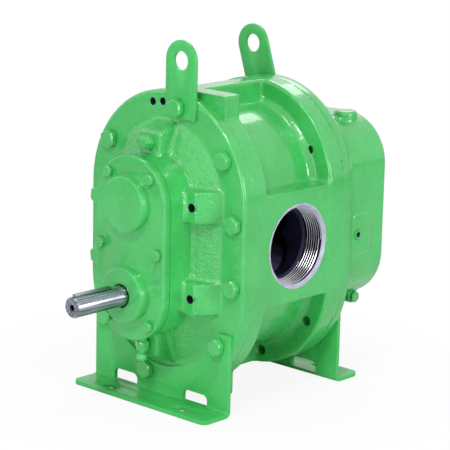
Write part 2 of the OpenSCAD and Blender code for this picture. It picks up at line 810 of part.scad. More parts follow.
module outer_rings(s) {
    color(steel) for (z = axes_z) bearing_ring(s, z, ball_pitch_r + ring_gap, bearing_od / 2);
}

module inner_rings(z) {
    color(steel) for (s = [-1, 1]) bearing_ring(s, z, seat_r + fit, ball_pitch_r - ring_gap);
}

module drive_end_outer_rings() {
    outer_rings(-1);
}

module gear_end_outer_rings() {
    outer_rings(1);
}

module drive_inner_rings() {
    inner_rings(z_low);
}

module driven_inner_rings() {
    inner_rings(z_high);
}

module balls(s, z) {
    color(steel) translate([0, s * (y_brg_in + y_brg_out) / 2, z]) for (i = [0:ball_count - 1])
        rotate([0, i * 360 / ball_count, 0]) translate([0, 0, ball_pitch_r]) sphere(r = ball_r);
}

module cage(s, z) {
    yc = s * (y_brg_in + y_brg_out) / 2;
    color([0.8, 0.62, 0.3]) difference() {
        rod(yc - cage_half_w, yc + cage_half_w, ball_pitch_r + cage_half_t, 0, z);
        rod(yc - bearing_w, yc + bearing_w, ball_pitch_r - cage_half_t, 0, z);
        translate([0, yc, z]) for (i = [0:ball_count - 1]) rotate([0, i * 360 / ball_count, 0])
            translate([0, 0, ball_pitch_r - 3 * cage_half_t]) cylinder(h = 6 * cage_half_t, r = ball_r + 0.3);
    }
}

module drive_front_balls() {
    balls(-1, z_low);
}

module drive_front_cage() {
    cage(-1, z_low);
}

module drive_rear_balls() {
    balls(1, z_low);
}

module drive_rear_cage() {
    cage(1, z_low);
}

module driven_front_balls() {
    balls(-1, z_high);
}

module driven_front_cage() {
    cage(-1, z_high);
}

module driven_rear_balls() {
    balls(1, z_high);
}

module driven_rear_cage() {
    cage(1, z_high);
}

retainer_ring_r = 51.5;
retainer_screw_r = 2.5;
retainer_angles = [20, 160, 200, 340];

module bearing_retainers() {
    color(dark_steel) for (z = axes_z) difference() {
        rod(y_brg_out, y_retainer, inner_housing_r - 1, 0, z);
        rod(y_brg_out - over, y_retainer + over, ball_pitch_r + ring_gap + 1, 0, z);
        for (a = retainer_angles) rod(y_brg_out - over, y_retainer + over, retainer_screw_r + 0.15, retainer_ring_r * cos(a), z + retainer_ring_r * sin(a));
    }
}

module retainer_screws() {
    color(steel) for (z = axes_z, a = retainer_angles) {
        rod(y_brg_out - 11, y_retainer, retainer_screw_r, retainer_ring_r * cos(a), z + retainer_ring_r * sin(a));
        rod(y_retainer, y_retainer + 3.5, retainer_screw_r + 1.8, retainer_ring_r * cos(a), z + retainer_ring_r * sin(a));
    }
}

// Shafts

// Keyway cut along Y on top of a shaft
module keyway(ya, yb, w, bottom, z) {
    translate([-w / 2, ya, z + bottom]) cube([w, yb - ya, 3 * w]);
}

module shaft_body(z) {
    rod(-y_brg_in, y_brg_in, core_r, 0, z);
    rod(-y_brg_out, y_brg_out, seat_r, 0, z);
    rod(y_brg_out - over, y_gear_out, gear_seat_r, 0, z);
    rod(y_gear_out - over, y_shaft_end, thread_r, 0, z);
    rod(-y_brg_out - nut_t - 2, -y_brg_out + over, thread_r, 0, z);
}

module gear_keyway(z) {
    keyway(y_gear - 1, y_gear_out + 1, gear_key_w + 0.04, gear_seat_r - gear_key_h / 2, z);
}

module drive_shaft() {
    end_r = shaft_end_d / 2;
    color(steel) difference() {
        union() {
            shaft_body(z_low);
            rod(y_lip - 1, -y_brg_out - nut_t, seal_land_r, 0, z_low);
            rod(-y_tip + 1.5 - lap, y_lip, end_r, 0, z_low);
            cone(-y_tip, -y_tip + 1.5, end_r - 1.5, end_r, 0, z_low);
        }
        gear_keyway(z_low);
        keyway(-y_tip + key_inset, -y_tip + key_inset + key_length, key_size + 0.04, end_r - key_size / 2, z_low);
        cone(-y_tip - 0.01, -y_tip + 5, 4.5, 1.6, 0, z_low);
        rod(-y_tip + 4, -y_tip + 14, 1.6, 0, z_low);
    }
}

module driven_shaft() {
    color(steel) difference() {
        shaft_body(z_high);
        gear_keyway(z_high);
    }
}

module coupling_key() {
    color(steel) translate([-key_size / 2, -y_tip + key_inset + 0.05, z_low + shaft_end_d / 2 - key_size / 2 + 0.02])
        cube([key_size, key_length - 0.1, key_size]);
}

module gear_key(z) {
    color(steel) translate([-gear_key_w / 2, y_gear + 1, z + gear_seat_r - gear_key_h / 2 + 0.02])
        cube([gear_key_w, gear_face - 2, gear_key_h - 0.1]);
}

module drive_gear_key() {
    gear_key(z_low);
}

module driven_gear_key() {
    gear_key(z_high);
}

// Round nut with four spanner slots
module slotted_nut(ya, z) {
    color(dark_steel) difference() {
        rod(ya, ya + nut_t, nut_r, 0, z);
        rod(ya - over, ya + nut_t + over, thread_r + fit, 0, z);
        for (a = [0, 90]) translate([0, ya + nut_t / 2, z]) rotate([0, a, 0]) for (s = [-1, 1])
            translate([s * (nut_r + 1), 0, 0]) cube([8, nut_t + 2 * over, nut_slot_w], center = true);
    }
}

module drive_gear_nut() {
    slotted_nut(y_nut, z_low);
}

module driven_gear_nut() {
    slotted_nut(y_slinger, z_high);
}

module drive_bearing_nut() {
    slotted_nut(-y_brg_out - nut_t, z_low);
}

module driven_bearing_nut() {
    slotted_nut(-y_brg_out - nut_t, z_high);
}

module oil_slinger() {
    color(steel) difference() {
        rod(y_slinger, y_slinger + slinger_t, slinger_r, 0, z_low);
        rod(y_slinger - over, y_nut + over, thread_r + fit, 0, z_low);
        for (a = [0:60:300]) rod(y_slinger - over, y_nut + over, 7, (slinger_r - 16) * cos(a), z_low + (slinger_r - 16) * sin(a));
    }
}

// Rotors: two lobes, each flank traced by a circle rolling outside and inside the pitch circle

function lobe_point(t) = [
    (pitch_r + roll_r) * cos(t) - roll_r * cos(5 * t) - rotor_clearance * sin(3 * t),
    (pitch_r + roll_r) * sin(t) - roll_r * sin(5 * t) + rotor_clearance * cos(3 * t)];
function waist_point(t) = [
    (pitch_r - roll_r) * cos(t) + roll_r * cos(3 * t) + rotor_clearance * sin(t),
    (pitch_r - roll_r) * sin(t) - roll_r * sin(3 * t) + rotor_clearance * cos(t)];
function half_turn(points) = concat(points, [for (p = points) -p]);
function rotor_outline() = half_turn(concat(
    [for (i = [1:profile_steps - 1]) lobe_point(90 * i / profile_steps)],
    [for (i = [1:profile_steps - 1]) waist_point(90 + 90 * i / profile_steps)]));

module rotor(z, phase) {
    color(iron) difference() {
        translate([0, rotor_half, z]) rotate([90, 0, 0]) linear_extrude(height = 2 * rotor_half)
            rotate(phase) polygon(rotor_outline());
        rod(-rotor_half - over, rotor_half + over, core_r + fit, 0, z);
    }
}

module drive_rotor() {
    rotor(z_low, -45);
}

module driven_rotor() {
    rotor(z_high, 45);
}

// Timing gears with involute teeth

base_r = pitch_r * cos(pressure_angle);
gear_tip_r = pitch_r + gear_module;
gear_root_r = pitch_r - 1.25 * gear_module;
flank_steps = 4;
function involute(r) = let (a = acos(min(1, base_r / r))) tan(a) * 180 / PI - a;
tooth_half = 90 / gear_teeth - gear_backlash / 4 / pitch_r * 180 / PI;
function tooth_angle(r) = tooth_half + involute(pitch_r) - involute(max(r, base_r));
function polar(r, a) = [r * cos(a), r * sin(a)];
function flank_r(i) = gear_root_r + (gear_tip_r - gear_root_r) * i / flank_steps;
function tooth(a) = concat(
    [for (i = [0:flank_steps]) polar(flank_r(i), a - tooth_angle(flank_r(i)))],
    [for (i = [flank_steps:-1:0]) polar(flank_r(i), a + tooth_angle(flank_r(i)))]);
function gear_outline() = [for (k = [0:gear_teeth - 1]) each tooth(k * 360 / gear_teeth)];

module timing_gear(z, phase) {
    color(dark_steel) difference() {
        union() {
            translate([0, y_gear_out, z]) rotate([90, 0, 0]) linear_extrude(height = gear_face)
                rotate(phase) polygon(gear_outline());
            rod(y_brg_out, y_slinger, gear_hub_r, 0, z);
        }
        rod(y_brg_out - over, y_slinger + over, gear_seat_r + fit, 0, z);
        keyway(y_gear, y_slinger + over, gear_key_w + 0.04, gear_seat_r - over, z);
    }
}

module drive_gear() {
    timing_gear(z_low, 0);
}

module driven_gear() {
    timing_gear(z_high, 180 / gear_teeth);
}

casing();
drive_head_plate();
gear_head_plate();
drive_end_cover();
gear_cover();
front_foot();
rear_foot();
front_lifting_lug();
rear_lifting_lug();
drive_plate_bolts();
gear_plate_bolts();
foot_bolts();
lug_bolts();
cover_bolts();
gear_cover_bolts();
dowel_pins();
cover_gasket();
gear_cover_gasket();
lip_seal();
plate_seals();
drive_end_outer_rings();
gear_end_outer_rings();
bearing_retainers();
retainer_screws();
filler_plug();
relief_fitting();
oil_breather();
oil_level_plug();
oil_drain_plug();
drive_shaft();
drive_rotor();
coupling_key();
drive_gear();
drive_gear_key();
drive_gear_nut();
drive_bearing_nut();
drive_inner_rings();
oil_slinger();
driven_shaft();
driven_rotor();
driven_gear();
driven_gear_key();
driven_gear_nut();
driven_bearing_nut();
driven_inner_rings();
drive_front_balls();
drive_front_cage();
drive_rear_balls();
drive_rear_cage();
driven_front_balls();
driven_front_cage();
driven_rear_balls();
driven_rear_cage();
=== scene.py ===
"""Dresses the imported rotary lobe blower: castings, plates, bolts, threads, shafts and rotors."""
from __future__ import annotations

import logging
import math
from dataclasses import dataclass, field
from enum import Enum
from typing import Callable, Iterable, Sequence

import bmesh
import bpy
import numpy as np
from mathutils import Matrix, Vector

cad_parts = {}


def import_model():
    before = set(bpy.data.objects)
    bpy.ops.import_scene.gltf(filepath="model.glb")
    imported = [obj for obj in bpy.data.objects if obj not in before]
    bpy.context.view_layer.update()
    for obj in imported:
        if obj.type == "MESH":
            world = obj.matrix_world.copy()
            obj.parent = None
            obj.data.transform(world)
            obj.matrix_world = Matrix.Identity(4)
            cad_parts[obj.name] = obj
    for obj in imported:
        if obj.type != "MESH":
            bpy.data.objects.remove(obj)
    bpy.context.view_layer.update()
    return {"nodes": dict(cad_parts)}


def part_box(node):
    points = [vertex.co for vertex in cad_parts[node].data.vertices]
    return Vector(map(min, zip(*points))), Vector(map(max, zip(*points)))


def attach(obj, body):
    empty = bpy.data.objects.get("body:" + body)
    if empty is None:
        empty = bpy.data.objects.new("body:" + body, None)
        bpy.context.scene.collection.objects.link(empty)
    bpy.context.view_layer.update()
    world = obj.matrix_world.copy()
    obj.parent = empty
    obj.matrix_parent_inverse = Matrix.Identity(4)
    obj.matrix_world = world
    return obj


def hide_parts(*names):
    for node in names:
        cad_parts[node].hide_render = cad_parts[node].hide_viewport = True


LOG = logging.getLogger("blower")
MM = 0.001
Z_LOW, Z_MID, Z_HIGH = 162.5, 226.0, 289.5
HALF_SPAN = 63.5
PIPE_TAPER = 1.0 / 32.0
MACHINE = "machine"
DRIVE = "drive_rotor_set"
DRIVEN = "driven_rotor_set"
WHITE = (1.0, 1.0, 1.0, 1.0)
Values = dict[str | int, object]
Triple = tuple[float, float, float]
Pair = tuple[float, float]
Faces = list[tuple[int, ...]]
Array = np.ndarray
Choice = Callable[[Array], Array]
Piece, Mesh, Material = bpy.types.Object, bpy.types.Mesh, bpy.types.Material


class Tone:
    """One output socket of a node sheet, with arithmetic that adds Math nodes."""

    def __init__(self, sheet: NodeSheet, socket: bpy.types.NodeSocket) -> None:
        """Keeps the node sheet and one of its output sockets."""
        self.sheet = sheet
        self.socket = socket

    def _math(self, operation: str, *terms: Tone | float) -> Tone:
        """Result of one Math node, from its operation and its inputs in order."""
        return self.sheet.add("ShaderNodeMath", {"operation": operation}, dict(enumerate(terms)))

    def __add__(self, other: Tone | float) -> Tone:
        """Sum."""
        return self._math("ADD", self, other)

    __radd__ = __add__

    def __sub__(self, other: Tone | float) -> Tone:
        """Difference."""
        return self._math("SUBTRACT", self, other)

    def __rsub__(self, other: Tone | float) -> Tone:
        """Difference, reflected."""
        return self._math("SUBTRACT", other, self)

    def __mul__(self, other: Tone | float) -> Tone:
        """Product."""
        return self._math("MULTIPLY", self, other)

    __rmul__ = __mul__

    def __pow__(self, other: Tone | float) -> Tone:
        """Power."""
        return self._math("POWER", self, other)

    def __abs__(self) -> Tone:
        """Absolute value."""
        return self._math("ABSOLUTE", self)

    def above(self, edge: Tone | float) -> Tone:
        """1 where the value is greater than edge, otherwise 0."""
        return self._math("GREATER_THAN", self, edge)

    def larger(self, other: Tone | float) -> Tone:
        """The larger of two values."""
        return self._math("MAXIMUM", self, other)

    def ramp(self, low: float, high: float) -> Tone:
        """Smooth step from 0 at low to 1 at high."""
        return self.sheet.add("ShaderNodeMapRange", {"interpolation_type": "SMOOTHSTEP"}, {
            "Value": self, "From Min": low, "From Max": high, "To Min": 0.0, "To Max": 1.0})


class NodeSheet:
    """A shader node tree with one method for every kind of node."""

    def __init__(self, tree: bpy.types.NodeTree, ending: str) -> None:
        """Empties the tree and gives it an output node.

        Args:
            tree: the node tree of a material or world.
            ending: type of the output node.
        """
        tree.nodes.clear()
        self.tree = tree
        self.out = tree.nodes.new(ending)
        self._place: Tone | None = None

    def feed(self, target: bpy.types.NodeSocket, value: object) -> None:
        """Sets or links one input.

        Args:
            target: the input socket.
            value: a Tone to link, or a plain value.
        """
        if isinstance(value, Tone):
            self.tree.links.new(value.socket, target)
        else:
            target.default_value = value

    def show(self, surface: Tone) -> None:
        """Links the shader that the output node shows."""
        self.feed(self.out.inputs["Surface"], surface)

    def add(self, kind: str, settings: Values, values: Values, out: int | str = 0) -> Tone:
        """Adds a node, sets it, then feeds its sockets.

        Args:
            kind: the node's type.
            settings: its properties.
            values: its inputs by name or index.
            out: which output to return.

        Returns:
            The chosen output.
        """
        node = self.tree.nodes.new(kind)
        for key, value in settings.items():
            setattr(node, key, value)
        for key, value in values.items():
            self.feed(node.inputs[key], value)
        return Tone(self, node.outputs[out])

    @property
    def place(self) -> Tone:
        """Object coordinates in metres."""
        if self._place is None:
            self._place = self.add("ShaderNodeTexCoord", {}, {}, "Object")
        return self._place

    def axis(self, letter: str) -> Tone:
        """The X, Y or Z object coordinate in metres."""
        return self.add("ShaderNodeSeparateXYZ", {}, {0: self.place}, letter)

    def stretch(self, factors: Triple) -> Tone:
        """Object coordinates times a factor on each axis."""
        times = {"operation": "MULTIPLY"}
        return self.add("ShaderNodeVectorMath", times, {0: self.place, 1: factors})

    def noise(self, grain_mm: float, detail: float = 2.0, rough: float = 0.5,
              where: Tone | None = None) -> Tone:
        """Noise about 0.5 with lumps of grain_mm, at the object coordinates or at another place."""
        return self.add("ShaderNodeTexNoise", {}, {
            "Vector": where or self.place, "Scale": 1.0 / (grain_mm * MM), "Detail": detail,
            "Roughness": rough})

    def mix(self, share: Tone | float, low: object, high: object) -> Tone:
        """Mixes two colours.

        Args:
            share: 0 gives low and 1 gives high.
            low: first colour.
            high: second colour.

        Returns:
            The mixed colour.
        """
        pair = [(*c, 1.0) if isinstance(c, tuple) and len(c) == 3 else c for c in (low, high)]
        values = {0: share, 6: pair[0], 7: pair[1]}
        return self.add("ShaderNodeMix", {"data_type": "RGBA"}, values, 2)

    def bump(self, height: Tone, depth_mm: float, normal: Tone | None = None) -> Tone:
        """Turns a height of 0 to 1 into a normal.

        Args:
            height: the height.
            depth_mm: what a height of 1 stands for, in millimetres.
            normal: the normal that it changes.

        Returns:
            The new normal.
        """
        values: Values = {"Strength": 1.0, "Distance": depth_mm * MM, "Height": height}
        if normal is not None:
            values["Normal"] = normal
        return self.add("ShaderNodeBump", {}, values)


class MaterialSheet(NodeSheet):
    """The node tree of a new material with a Principled shader."""

    def __init__(self, name: str) -> None:
        """Makes the material and its shader.

        Args:
            name: the material's name.
        """
        self.material = bpy.data.materials.new(name)
        self.material.use_nodes = True
        super().__init__(self.material.node_tree, "ShaderNodeOutputMaterial")
        self.shader = self.tree.nodes.new("ShaderNodeBsdfPrincipled")
        self.shade = Tone(self, self.shader.outputs["BSDF"])
        self.show(self.shade)

    def surface(self, **values: object) -> Material:
        """Feeds the shader by socket name, with blanks written as underscores.

        Args:
            values: a value or Tone for each socket.

        Returns:
            The finished material.
        """
        for key, value in values.items():
            if isinstance(value, tuple) and len(value) == 3:
                value = (*value, 1.0)
            self.feed(self.shader.inputs[key.replace("_", " ")], value)
        return self.material
class Grain(Enum):
    """How rough the metal under the paint is."""

    CAST = "cast"
    FINE_CAST = "fine cast"
    MACHINED = "machined"
    SHEET = "sheet"


@dataclass(frozen=True)
class GreenEnamel:
    """Glossy green enamel over cast, machined or sheet metal."""

    grain: Grain
    bright: Triple = (0.062, 0.55, 0.128)
    deep: Triple = (0.044, 0.45, 0.094)
    gloss: float = 0.17
    smooth_from_mm: float = 0.0
    rim_m: Pair = (0.092, 0.113)
    housing_m: Pair = (0.066, 0.069)
    wall_m: Pair = (-0.13, -0.124)
    front_m: Pair = (-0.1425, -0.1395)

    def build(self) -> Material:
        """Builds the material.

        Returns:
            The material.
        """
        sheet = MaterialSheet("green_enamel_" + self.grain.value.replace(" ", "_"))
        drift = sheet.noise(70.0, 3.0, 0.55)
        mottle = sheet.noise(9.0, 3.0, 0.6)
        speck = sheet.noise(1.6, 2.0, 0.6)
        share = drift.ramp(0.35, 0.65) * 0.55 + mottle.ramp(0.3, 0.7) * 0.3 + speck * 0.15
        colour = sheet.mix(share, self.deep, self.bright)
        haze = sheet.noise(28.0, 4.0, 0.6)
        rough = self.gloss + haze.ramp(0.35, 0.7) * 0.09 + speck * 0.05
        depth = {Grain.CAST: (1.7, 1.6), Grain.FINE_CAST: (0.8, 0.36), Grain.MACHINED: (0.1, 0.04),
                 Grain.SHEET: (0.08, 0.02)}[self.grain]
        lumps = sheet.noise(7.0, 2.0, 0.55) * 0.6 + sheet.noise(16.0, 1.0, 0.5) * 0.4
        grit = sheet.noise(3.1, 1.5, 0.6)
        if self.smooth_from_mm > 0.0:
            edge = self.smooth_from_mm * MM
            cast = 1.0 - abs(sheet.axis("X")).ramp(edge - 0.004, edge) * 0.88
            lumps, grit = lumps * cast, grit * cast
        if self.grain is Grain.CAST:
            coarse = self.cone_zone(sheet)
            lumps, grit = lumps * coarse, grit * coarse
        normal = sheet.bump(lumps, depth[0])
        normal = sheet.bump(grit, depth[1], normal)
        if self.grain is Grain.SHEET:
            rolled = sheet.noise(1.0, 2.0, 0.5, sheet.stretch((0.06, 0.06, 0.5)))
            normal = sheet.bump(rolled, 0.02, normal)
        coat = 0.15 if self.grain is Grain.SHEET else 0.65
        return sheet.surface(Base_Color=colour, Roughness=rough, Normal=normal, Coat_Weight=coat,
                             Coat_Roughness=0.05, Specular_IOR_Level=0.5)

    def cone_zone(self, sheet: NodeSheet) -> Tone:
        """Share of the cast grain: full round the housing, less on the rim, wall and front.

        Args:
            sheet: the material's sheet.

        Returns:
            The share.
        """
        x, y, z = (sheet.axis(letter) for letter in "XYZ")
        beyond = abs(z - Z_MID * MM) - HALF_SPAN * MM
        beyond = beyond * beyond.above(0.0)
        reach = (x * x + beyond * beyond) ** 0.5
        wall = (1.0 - reach.ramp(*self.housing_m)) * (1.0 - y.ramp(*self.wall_m))
        front = 1.0 - y.ramp(*self.front_m)
        return 1.0 - reach.ramp(*self.rim_m) * 0.68 - (wall + front - wall * front) * 0.75


@dataclass(frozen=True)
class TurnedSteel:
    """Bare steel turned or ground about an axis along Y, with streaks along the axis painted as
    reflection bands.
    """

    name: str
    light: Triple = (0.42, 0.46, 0.5)
    dark: Triple = (0.085, 0.105, 0.125)
    gloss: float = 0.2

    def build(self) -> Material:
        """Builds the material.

        Returns:
            The material.
        """
        sheet = MaterialSheet(self.name)
        rings = sheet.noise(1.0, 3.0, 0.6, sheet.stretch((0.05, 3.0, 0.05)))
        # Light and dark streaks along the axis: painted reflection bands.
        reflection_streak = sheet.noise(1.0, 2.0, 0.5, sheet.stretch((0.5, 0.012, 0.5)))
        share = rings.ramp(0.3, 0.7) * 0.3 + reflection_streak.ramp(0.38, 0.62) * 0.7
        colour = sheet.mix(share, self.dark, self.light)
        stain = sheet.noise(5.0, 3.0, 0.65).ramp(0.6, 0.78)
        colour = sheet.mix(stain * 0.15, colour, (0.2, 0.15, 0.11))
        rough = self.gloss + rings * 0.12 + stain * 0.15
        return sheet.surface(Base_Color=colour, Metallic=1.0, Roughness=rough,
                             Normal=sheet.bump(rings, 0.02))


@dataclass(frozen=True)
class PlainMetal:
    """Bare or oiled metal with mottled colour and fine scratches."""

    name: str
    light: Triple
    dark: Triple
    gloss: float = 0.35
    metallic: float = 1.0
    depth_mm: float = 0.04

    def build(self) -> Material:
        """Builds the material.

        Returns:
            The material.
        """
        sheet = MaterialSheet(self.name)
        blotch = sheet.noise(16.0, 4.0, 0.6)
        fine = sheet.noise(1.2, 3.0, 0.6)
        scratch = sheet.noise(1.0, 2.0, 0.6, sheet.stretch((2.5, 0.15, 0.15)))
        colour = sheet.mix(blotch.ramp(0.3, 0.7) * 0.7 + fine * 0.3, self.dark, self.light)
        rough = self.gloss + blotch * 0.12 + scratch * 0.08
        normal = sheet.bump(fine * 0.6 + scratch * 0.4, self.depth_mm)
        return sheet.surface(Base_Color=colour, Metallic=self.metallic, Roughness=rough,
                             Normal=normal)


@dataclass(frozen=True)
class ThreadSteel:
    """Cut thread about X: crests lighter, partly from wear and partly as painted highlight, over
    near-black roots of painted shade.
    """

    crest: Triple = (0.58, 0.58, 0.64)
    root: Triple = (0.03, 0.03, 0.06)
    root_r: float = 55.9
    depth: float = 2.3
    mouth_x: float = 142.8
    taper: float = PIPE_TAPER

    def build(self) -> Material:
        """Builds the material.

        Returns:
            The material.
        """
        sheet = MaterialSheet("cut_thread")
        x, y, z = (sheet.axis(letter) for letter in "XYZ")
        rise = z - Z_MID * MM
        reach = (y * y + rise * rise) ** 0.5 - (abs(x) - self.mouth_x * MM) * self.taper
        # Crests lighter and roots near-black by radius: partly worn metal, partly painted highlight
        # on the crests and painted shade in the roots.
        wear_and_sheen = 1.0 - reach.ramp((self.root_r - self.depth * 0.8) * MM,
                                (self.root_r - self.depth * 0.1) * MM)
        blotch = sheet.noise(14.0, 3.0, 0.6)
        colour = sheet.mix(wear_and_sheen * (blotch.ramp(0.25, 0.7) * 0.4 + 0.6), self.root, self.crest)
        return sheet.surface(Base_Color=colour, Metallic=1.0, Roughness=blotch * 0.1 + 0.14,
                             Normal=sheet.bump(sheet.noise(0.9, 2.0, 0.6), 0.03))


@dataclass(frozen=True)
class Elastic:
    """Rubber or fibre with a fine matt grain."""

    name: str
    light: Triple
    dark: Triple

    def build(self) -> Material:
        """Builds the material.

        Returns:
            The material.
        """
        sheet = MaterialSheet(self.name)
        fine = sheet.noise(0.9, 3.0, 0.65)
        colour = sheet.mix(fine * 0.6 + sheet.noise(7.0) * 0.4, self.dark, self.light)
        return sheet.surface(Base_Color=colour, Roughness=fine * 0.25 + 0.55,
                             Normal=sheet.bump(fine, 0.05))


class Finishes:
    """All the materials of the machine, built once."""

    def __init__(self) -> None:
        """Builds each material."""
        self.cast = GreenEnamel(Grain.CAST).build()
        self.fine_cast = GreenEnamel(Grain.FINE_CAST, smooth_from_mm=143.5).build()
        self.machined = GreenEnamel(Grain.MACHINED).build()
        self.sheet = GreenEnamel(Grain.SHEET, gloss=0.3).build()
        self.shaft = TurnedSteel("turned_shaft").build()
        self.rings = TurnedSteel("ground_rings", (0.62, 0.63, 0.66), (0.5, 0.51, 0.54),
                                 0.14).build()
        self.dark = PlainMetal("oiled_steel", (0.25, 0.25, 0.27), (0.13, 0.13, 0.145), 0.32).build()
        # Rotor iron is bare iron darkened and blued to near-black: painted shade for the rotors
        # inside the casing.
        self.iron = PlainMetal("rotor_iron_painted_shade", (0.075, 0.073, 0.135), (0.034, 0.032, 0.07),
                               0.42).build()
        # Bore iron is bare iron darkened and blued to near-black: painted shade for bores, port
        # passages, hole walls and bottoms, recesses and the centre hole.
        self.shaded_bore = PlainMetal("bore_iron_painted_shade", (0.036, 0.034, 0.095), (0.016, 0.014, 0.048), 0.5,
                               0.5).build()
        self.brass = PlainMetal("satin_brass", (0.72, 0.52, 0.2), (0.52, 0.35, 0.13), 0.3).build()
        self.thread = ThreadSteel().build()
        self.mouth = PlainMetal("bare_mouth", (0.6, 0.6, 0.72), (0.36, 0.37, 0.48), 0.5, 0.4,
                                0.15).build()
        self.seal = Elastic("seal_rubber", (0.05, 0.05, 0.055), (0.018, 0.018, 0.02)).build()
        self.fibre = Elastic("gasket_fibre", (0.16, 0.16, 0.15), (0.09, 0.09, 0.085)).build()


def to_object(name: str, mesh: Mesh, material: Material | None = None) -> Piece:
    """Links a mesh as an object at the origin.

    Args:
        name: the object's name.
        mesh: its mesh.
        material: its one material, if any.

    Returns:
        The object.
    """
    obj = bpy.data.objects.new(name, mesh)
    bpy.context.scene.collection.objects.link(obj)
    if material is not None:
        mesh.materials.clear()
        mesh.materials.append(material)
    return obj


def soften(mesh: Mesh, degrees: float = 32.0) -> None:
    """Shades a mesh smooth, and keeps the edges that turn more than an angle.

    Args:
        mesh: the mesh.
        degrees: the angle.
    """
    mesh.polygons.foreach_set("use_smooth", [True] * len(mesh.polygons))
    mesh.set_sharp_from_angle(angle=math.radians(degrees))
    mesh.update()


def bake_modifiers(obj: Piece) -> None:
    """Turns an object's modifiers into plain mesh.

    Args:
        obj: the object.
    """
    graph = bpy.context.evaluated_depsgraph_get()
    mesh = bpy.data.meshes.new_from_object(obj.evaluated_get(graph))
    obj.modifiers.clear()
    old = obj.data
    obj.data = mesh
    bpy.data.meshes.remove(old)


def read_triples(items: Sequence[object], name: str) -> Array:
    """Reads a vector of every vertex or face.

    Args:
        items: a mesh's vertices or polygons.
        name: the vector's name.

    Returns:
        One row for each item.
    """
    out = np.empty(len(items) * 3)
    items.foreach_get(name, out)
    return out.reshape(-1, 3)


def circle(radius: float, around: int) -> list[Pair]:
    """Points spaced evenly on a circle."""
    angles = [math.tau * i / around for i in range(around)]
    return [(radius * math.cos(angle), radius * math.sin(angle)) for angle in angles]


def tube(starts: Sequence[int], around: int) -> Faces:
    """Faces between loops of points that begin at the given indices."""
    steps = [(i, (i + 1) % around) for i in range(around)]
    return [(a + i, a + j, b + j, b + i) for a, b in zip(starts, starts[1:]) for i, j in steps]


def to_mesh(work: bmesh.types.BMesh, mesh: Mesh) -> Mesh:
    """Writes an edited mesh and frees the editor.

    Args:
        work: the editor.
        mesh: the mesh to write.

    Returns:
        The mesh.
    """
    work.to_mesh(mesh)
    work.free()
    return mesh


def shell(name: str, points: list[Triple], faces: Faces, clean: bool = False) -> Mesh:
    """Merged mesh with its faces turned outwards.

    Args:
        name: the mesh's name.
        points: points in metres.
        faces: indices of each face's points.
        clean: drops edges and faces without size too.

    Returns:
        The mesh.
    """
    mesh = bpy.data.meshes.new(name)
    mesh.from_pydata(points, [], faces)
    work = bmesh.new()
    work.from_mesh(mesh)
    bmesh.ops.remove_doubles(work, verts=work.verts, dist=1e-6)
    if clean:
        bmesh.ops.dissolve_degenerate(work, edges=work.edges, dist=1e-6)
    bmesh.ops.recalc_face_normals(work, faces=work.faces)
    return to_mesh(work, mesh)


class Workshop:
    """Copies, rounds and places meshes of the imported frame."""

    def __init__(self, nodes: dict[str, Piece]) -> None:
        """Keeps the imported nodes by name."""
        self.nodes = nodes

    def copy(self, node: str, name: str, flatten: bool = True) -> Piece:
        """Merged copy of a node's mesh.

        Args:
            node: the CAD node.
            name: the new object's name.
            flatten: joins faces that lie in one plane.

        Returns:
            The copy.
        """
        work = bmesh.new()
        work.from_mesh(self.nodes[node].data)
        bmesh.ops.remove_doubles(work, verts=work.verts, dist=2e-6)
        bmesh.ops.dissolve_degenerate(work, edges=work.edges, dist=2e-6)
        if flatten:
            bmesh.ops.dissolve_limit(work, angle_limit=math.radians(0.4), verts=work.verts,
                                     edges=work.edges)
        return to_object(name, to_mesh(work, bpy.data.meshes.new(name)))

    def skin(self, node: str, material: Material, body: str, bevel_mm: float = 0.0,
             slot: str = "green_paint") -> Piece:
        """Smooth copy of a node that stands for it, with rounded edges if asked.

        Args:
            node: the CAD node.
            material: the finish.
            body: the body that it rides on.
            bevel_mm: width of the rounding on its edges.
            slot: the record's slot.

        Returns:
            The new piece.
        """
        obj = self.copy(node, node + "_skin")
        obj.data.materials.append(material)
        if bevel_mm > 0.0:
            bevel = obj.modifiers.new("round", "BEVEL")
            bevel.width = bevel_mm * MM
            bevel.segments = 2
            bevel.limit_method = "ANGLE"
            bevel.angle_limit = math.radians(32.0)
            bevel.use_clamp_overlap = True
            bake_modifiers(obj)
        soften(obj.data)
        self.place(obj, body, slot, node)
        return obj

    def place(self, obj: Piece, body: str, slot: str, *nodes: str) -> None:
        """Rides a piece on its body and lets it stand for its nodes.

        Args:
            obj: the piece.
            body: its body.
            slot: the record's slot; not used.
            nodes: the nodes that it replaces.
        """
        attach(obj, body)
        if nodes:
            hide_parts(*nodes)
        LOG.info("%s: %d faces on %s", obj.name, len(obj.data.polygons), body)

    def bare(self, obj: Piece, material: Material, chosen: Choice) -> None:
        """Gives some of a piece's faces a second finish.

        Args:
            obj: the piece.
            material: the finish.
            chosen: marks face centres, from points in millimetres.
        """
        faces = obj.data.polygons
        obj.data.materials.append(material)
        marks = chosen(read_triples(faces, "center") / MM).astype(np.int32)
        faces.foreach_set("material_index", marks)
        obj.data.update()

    def dress(self, node: str, material: Material) -> None:
        """Gives a node that stays its material.

        Args:
            node: the CAD node.
            material: the finish.
        """
        obj = self.nodes[node]
        if not obj.material_slots:
            obj.data.materials.append(material)
        for place in obj.material_slots:
            place.link = "OBJECT"
            place.material = material


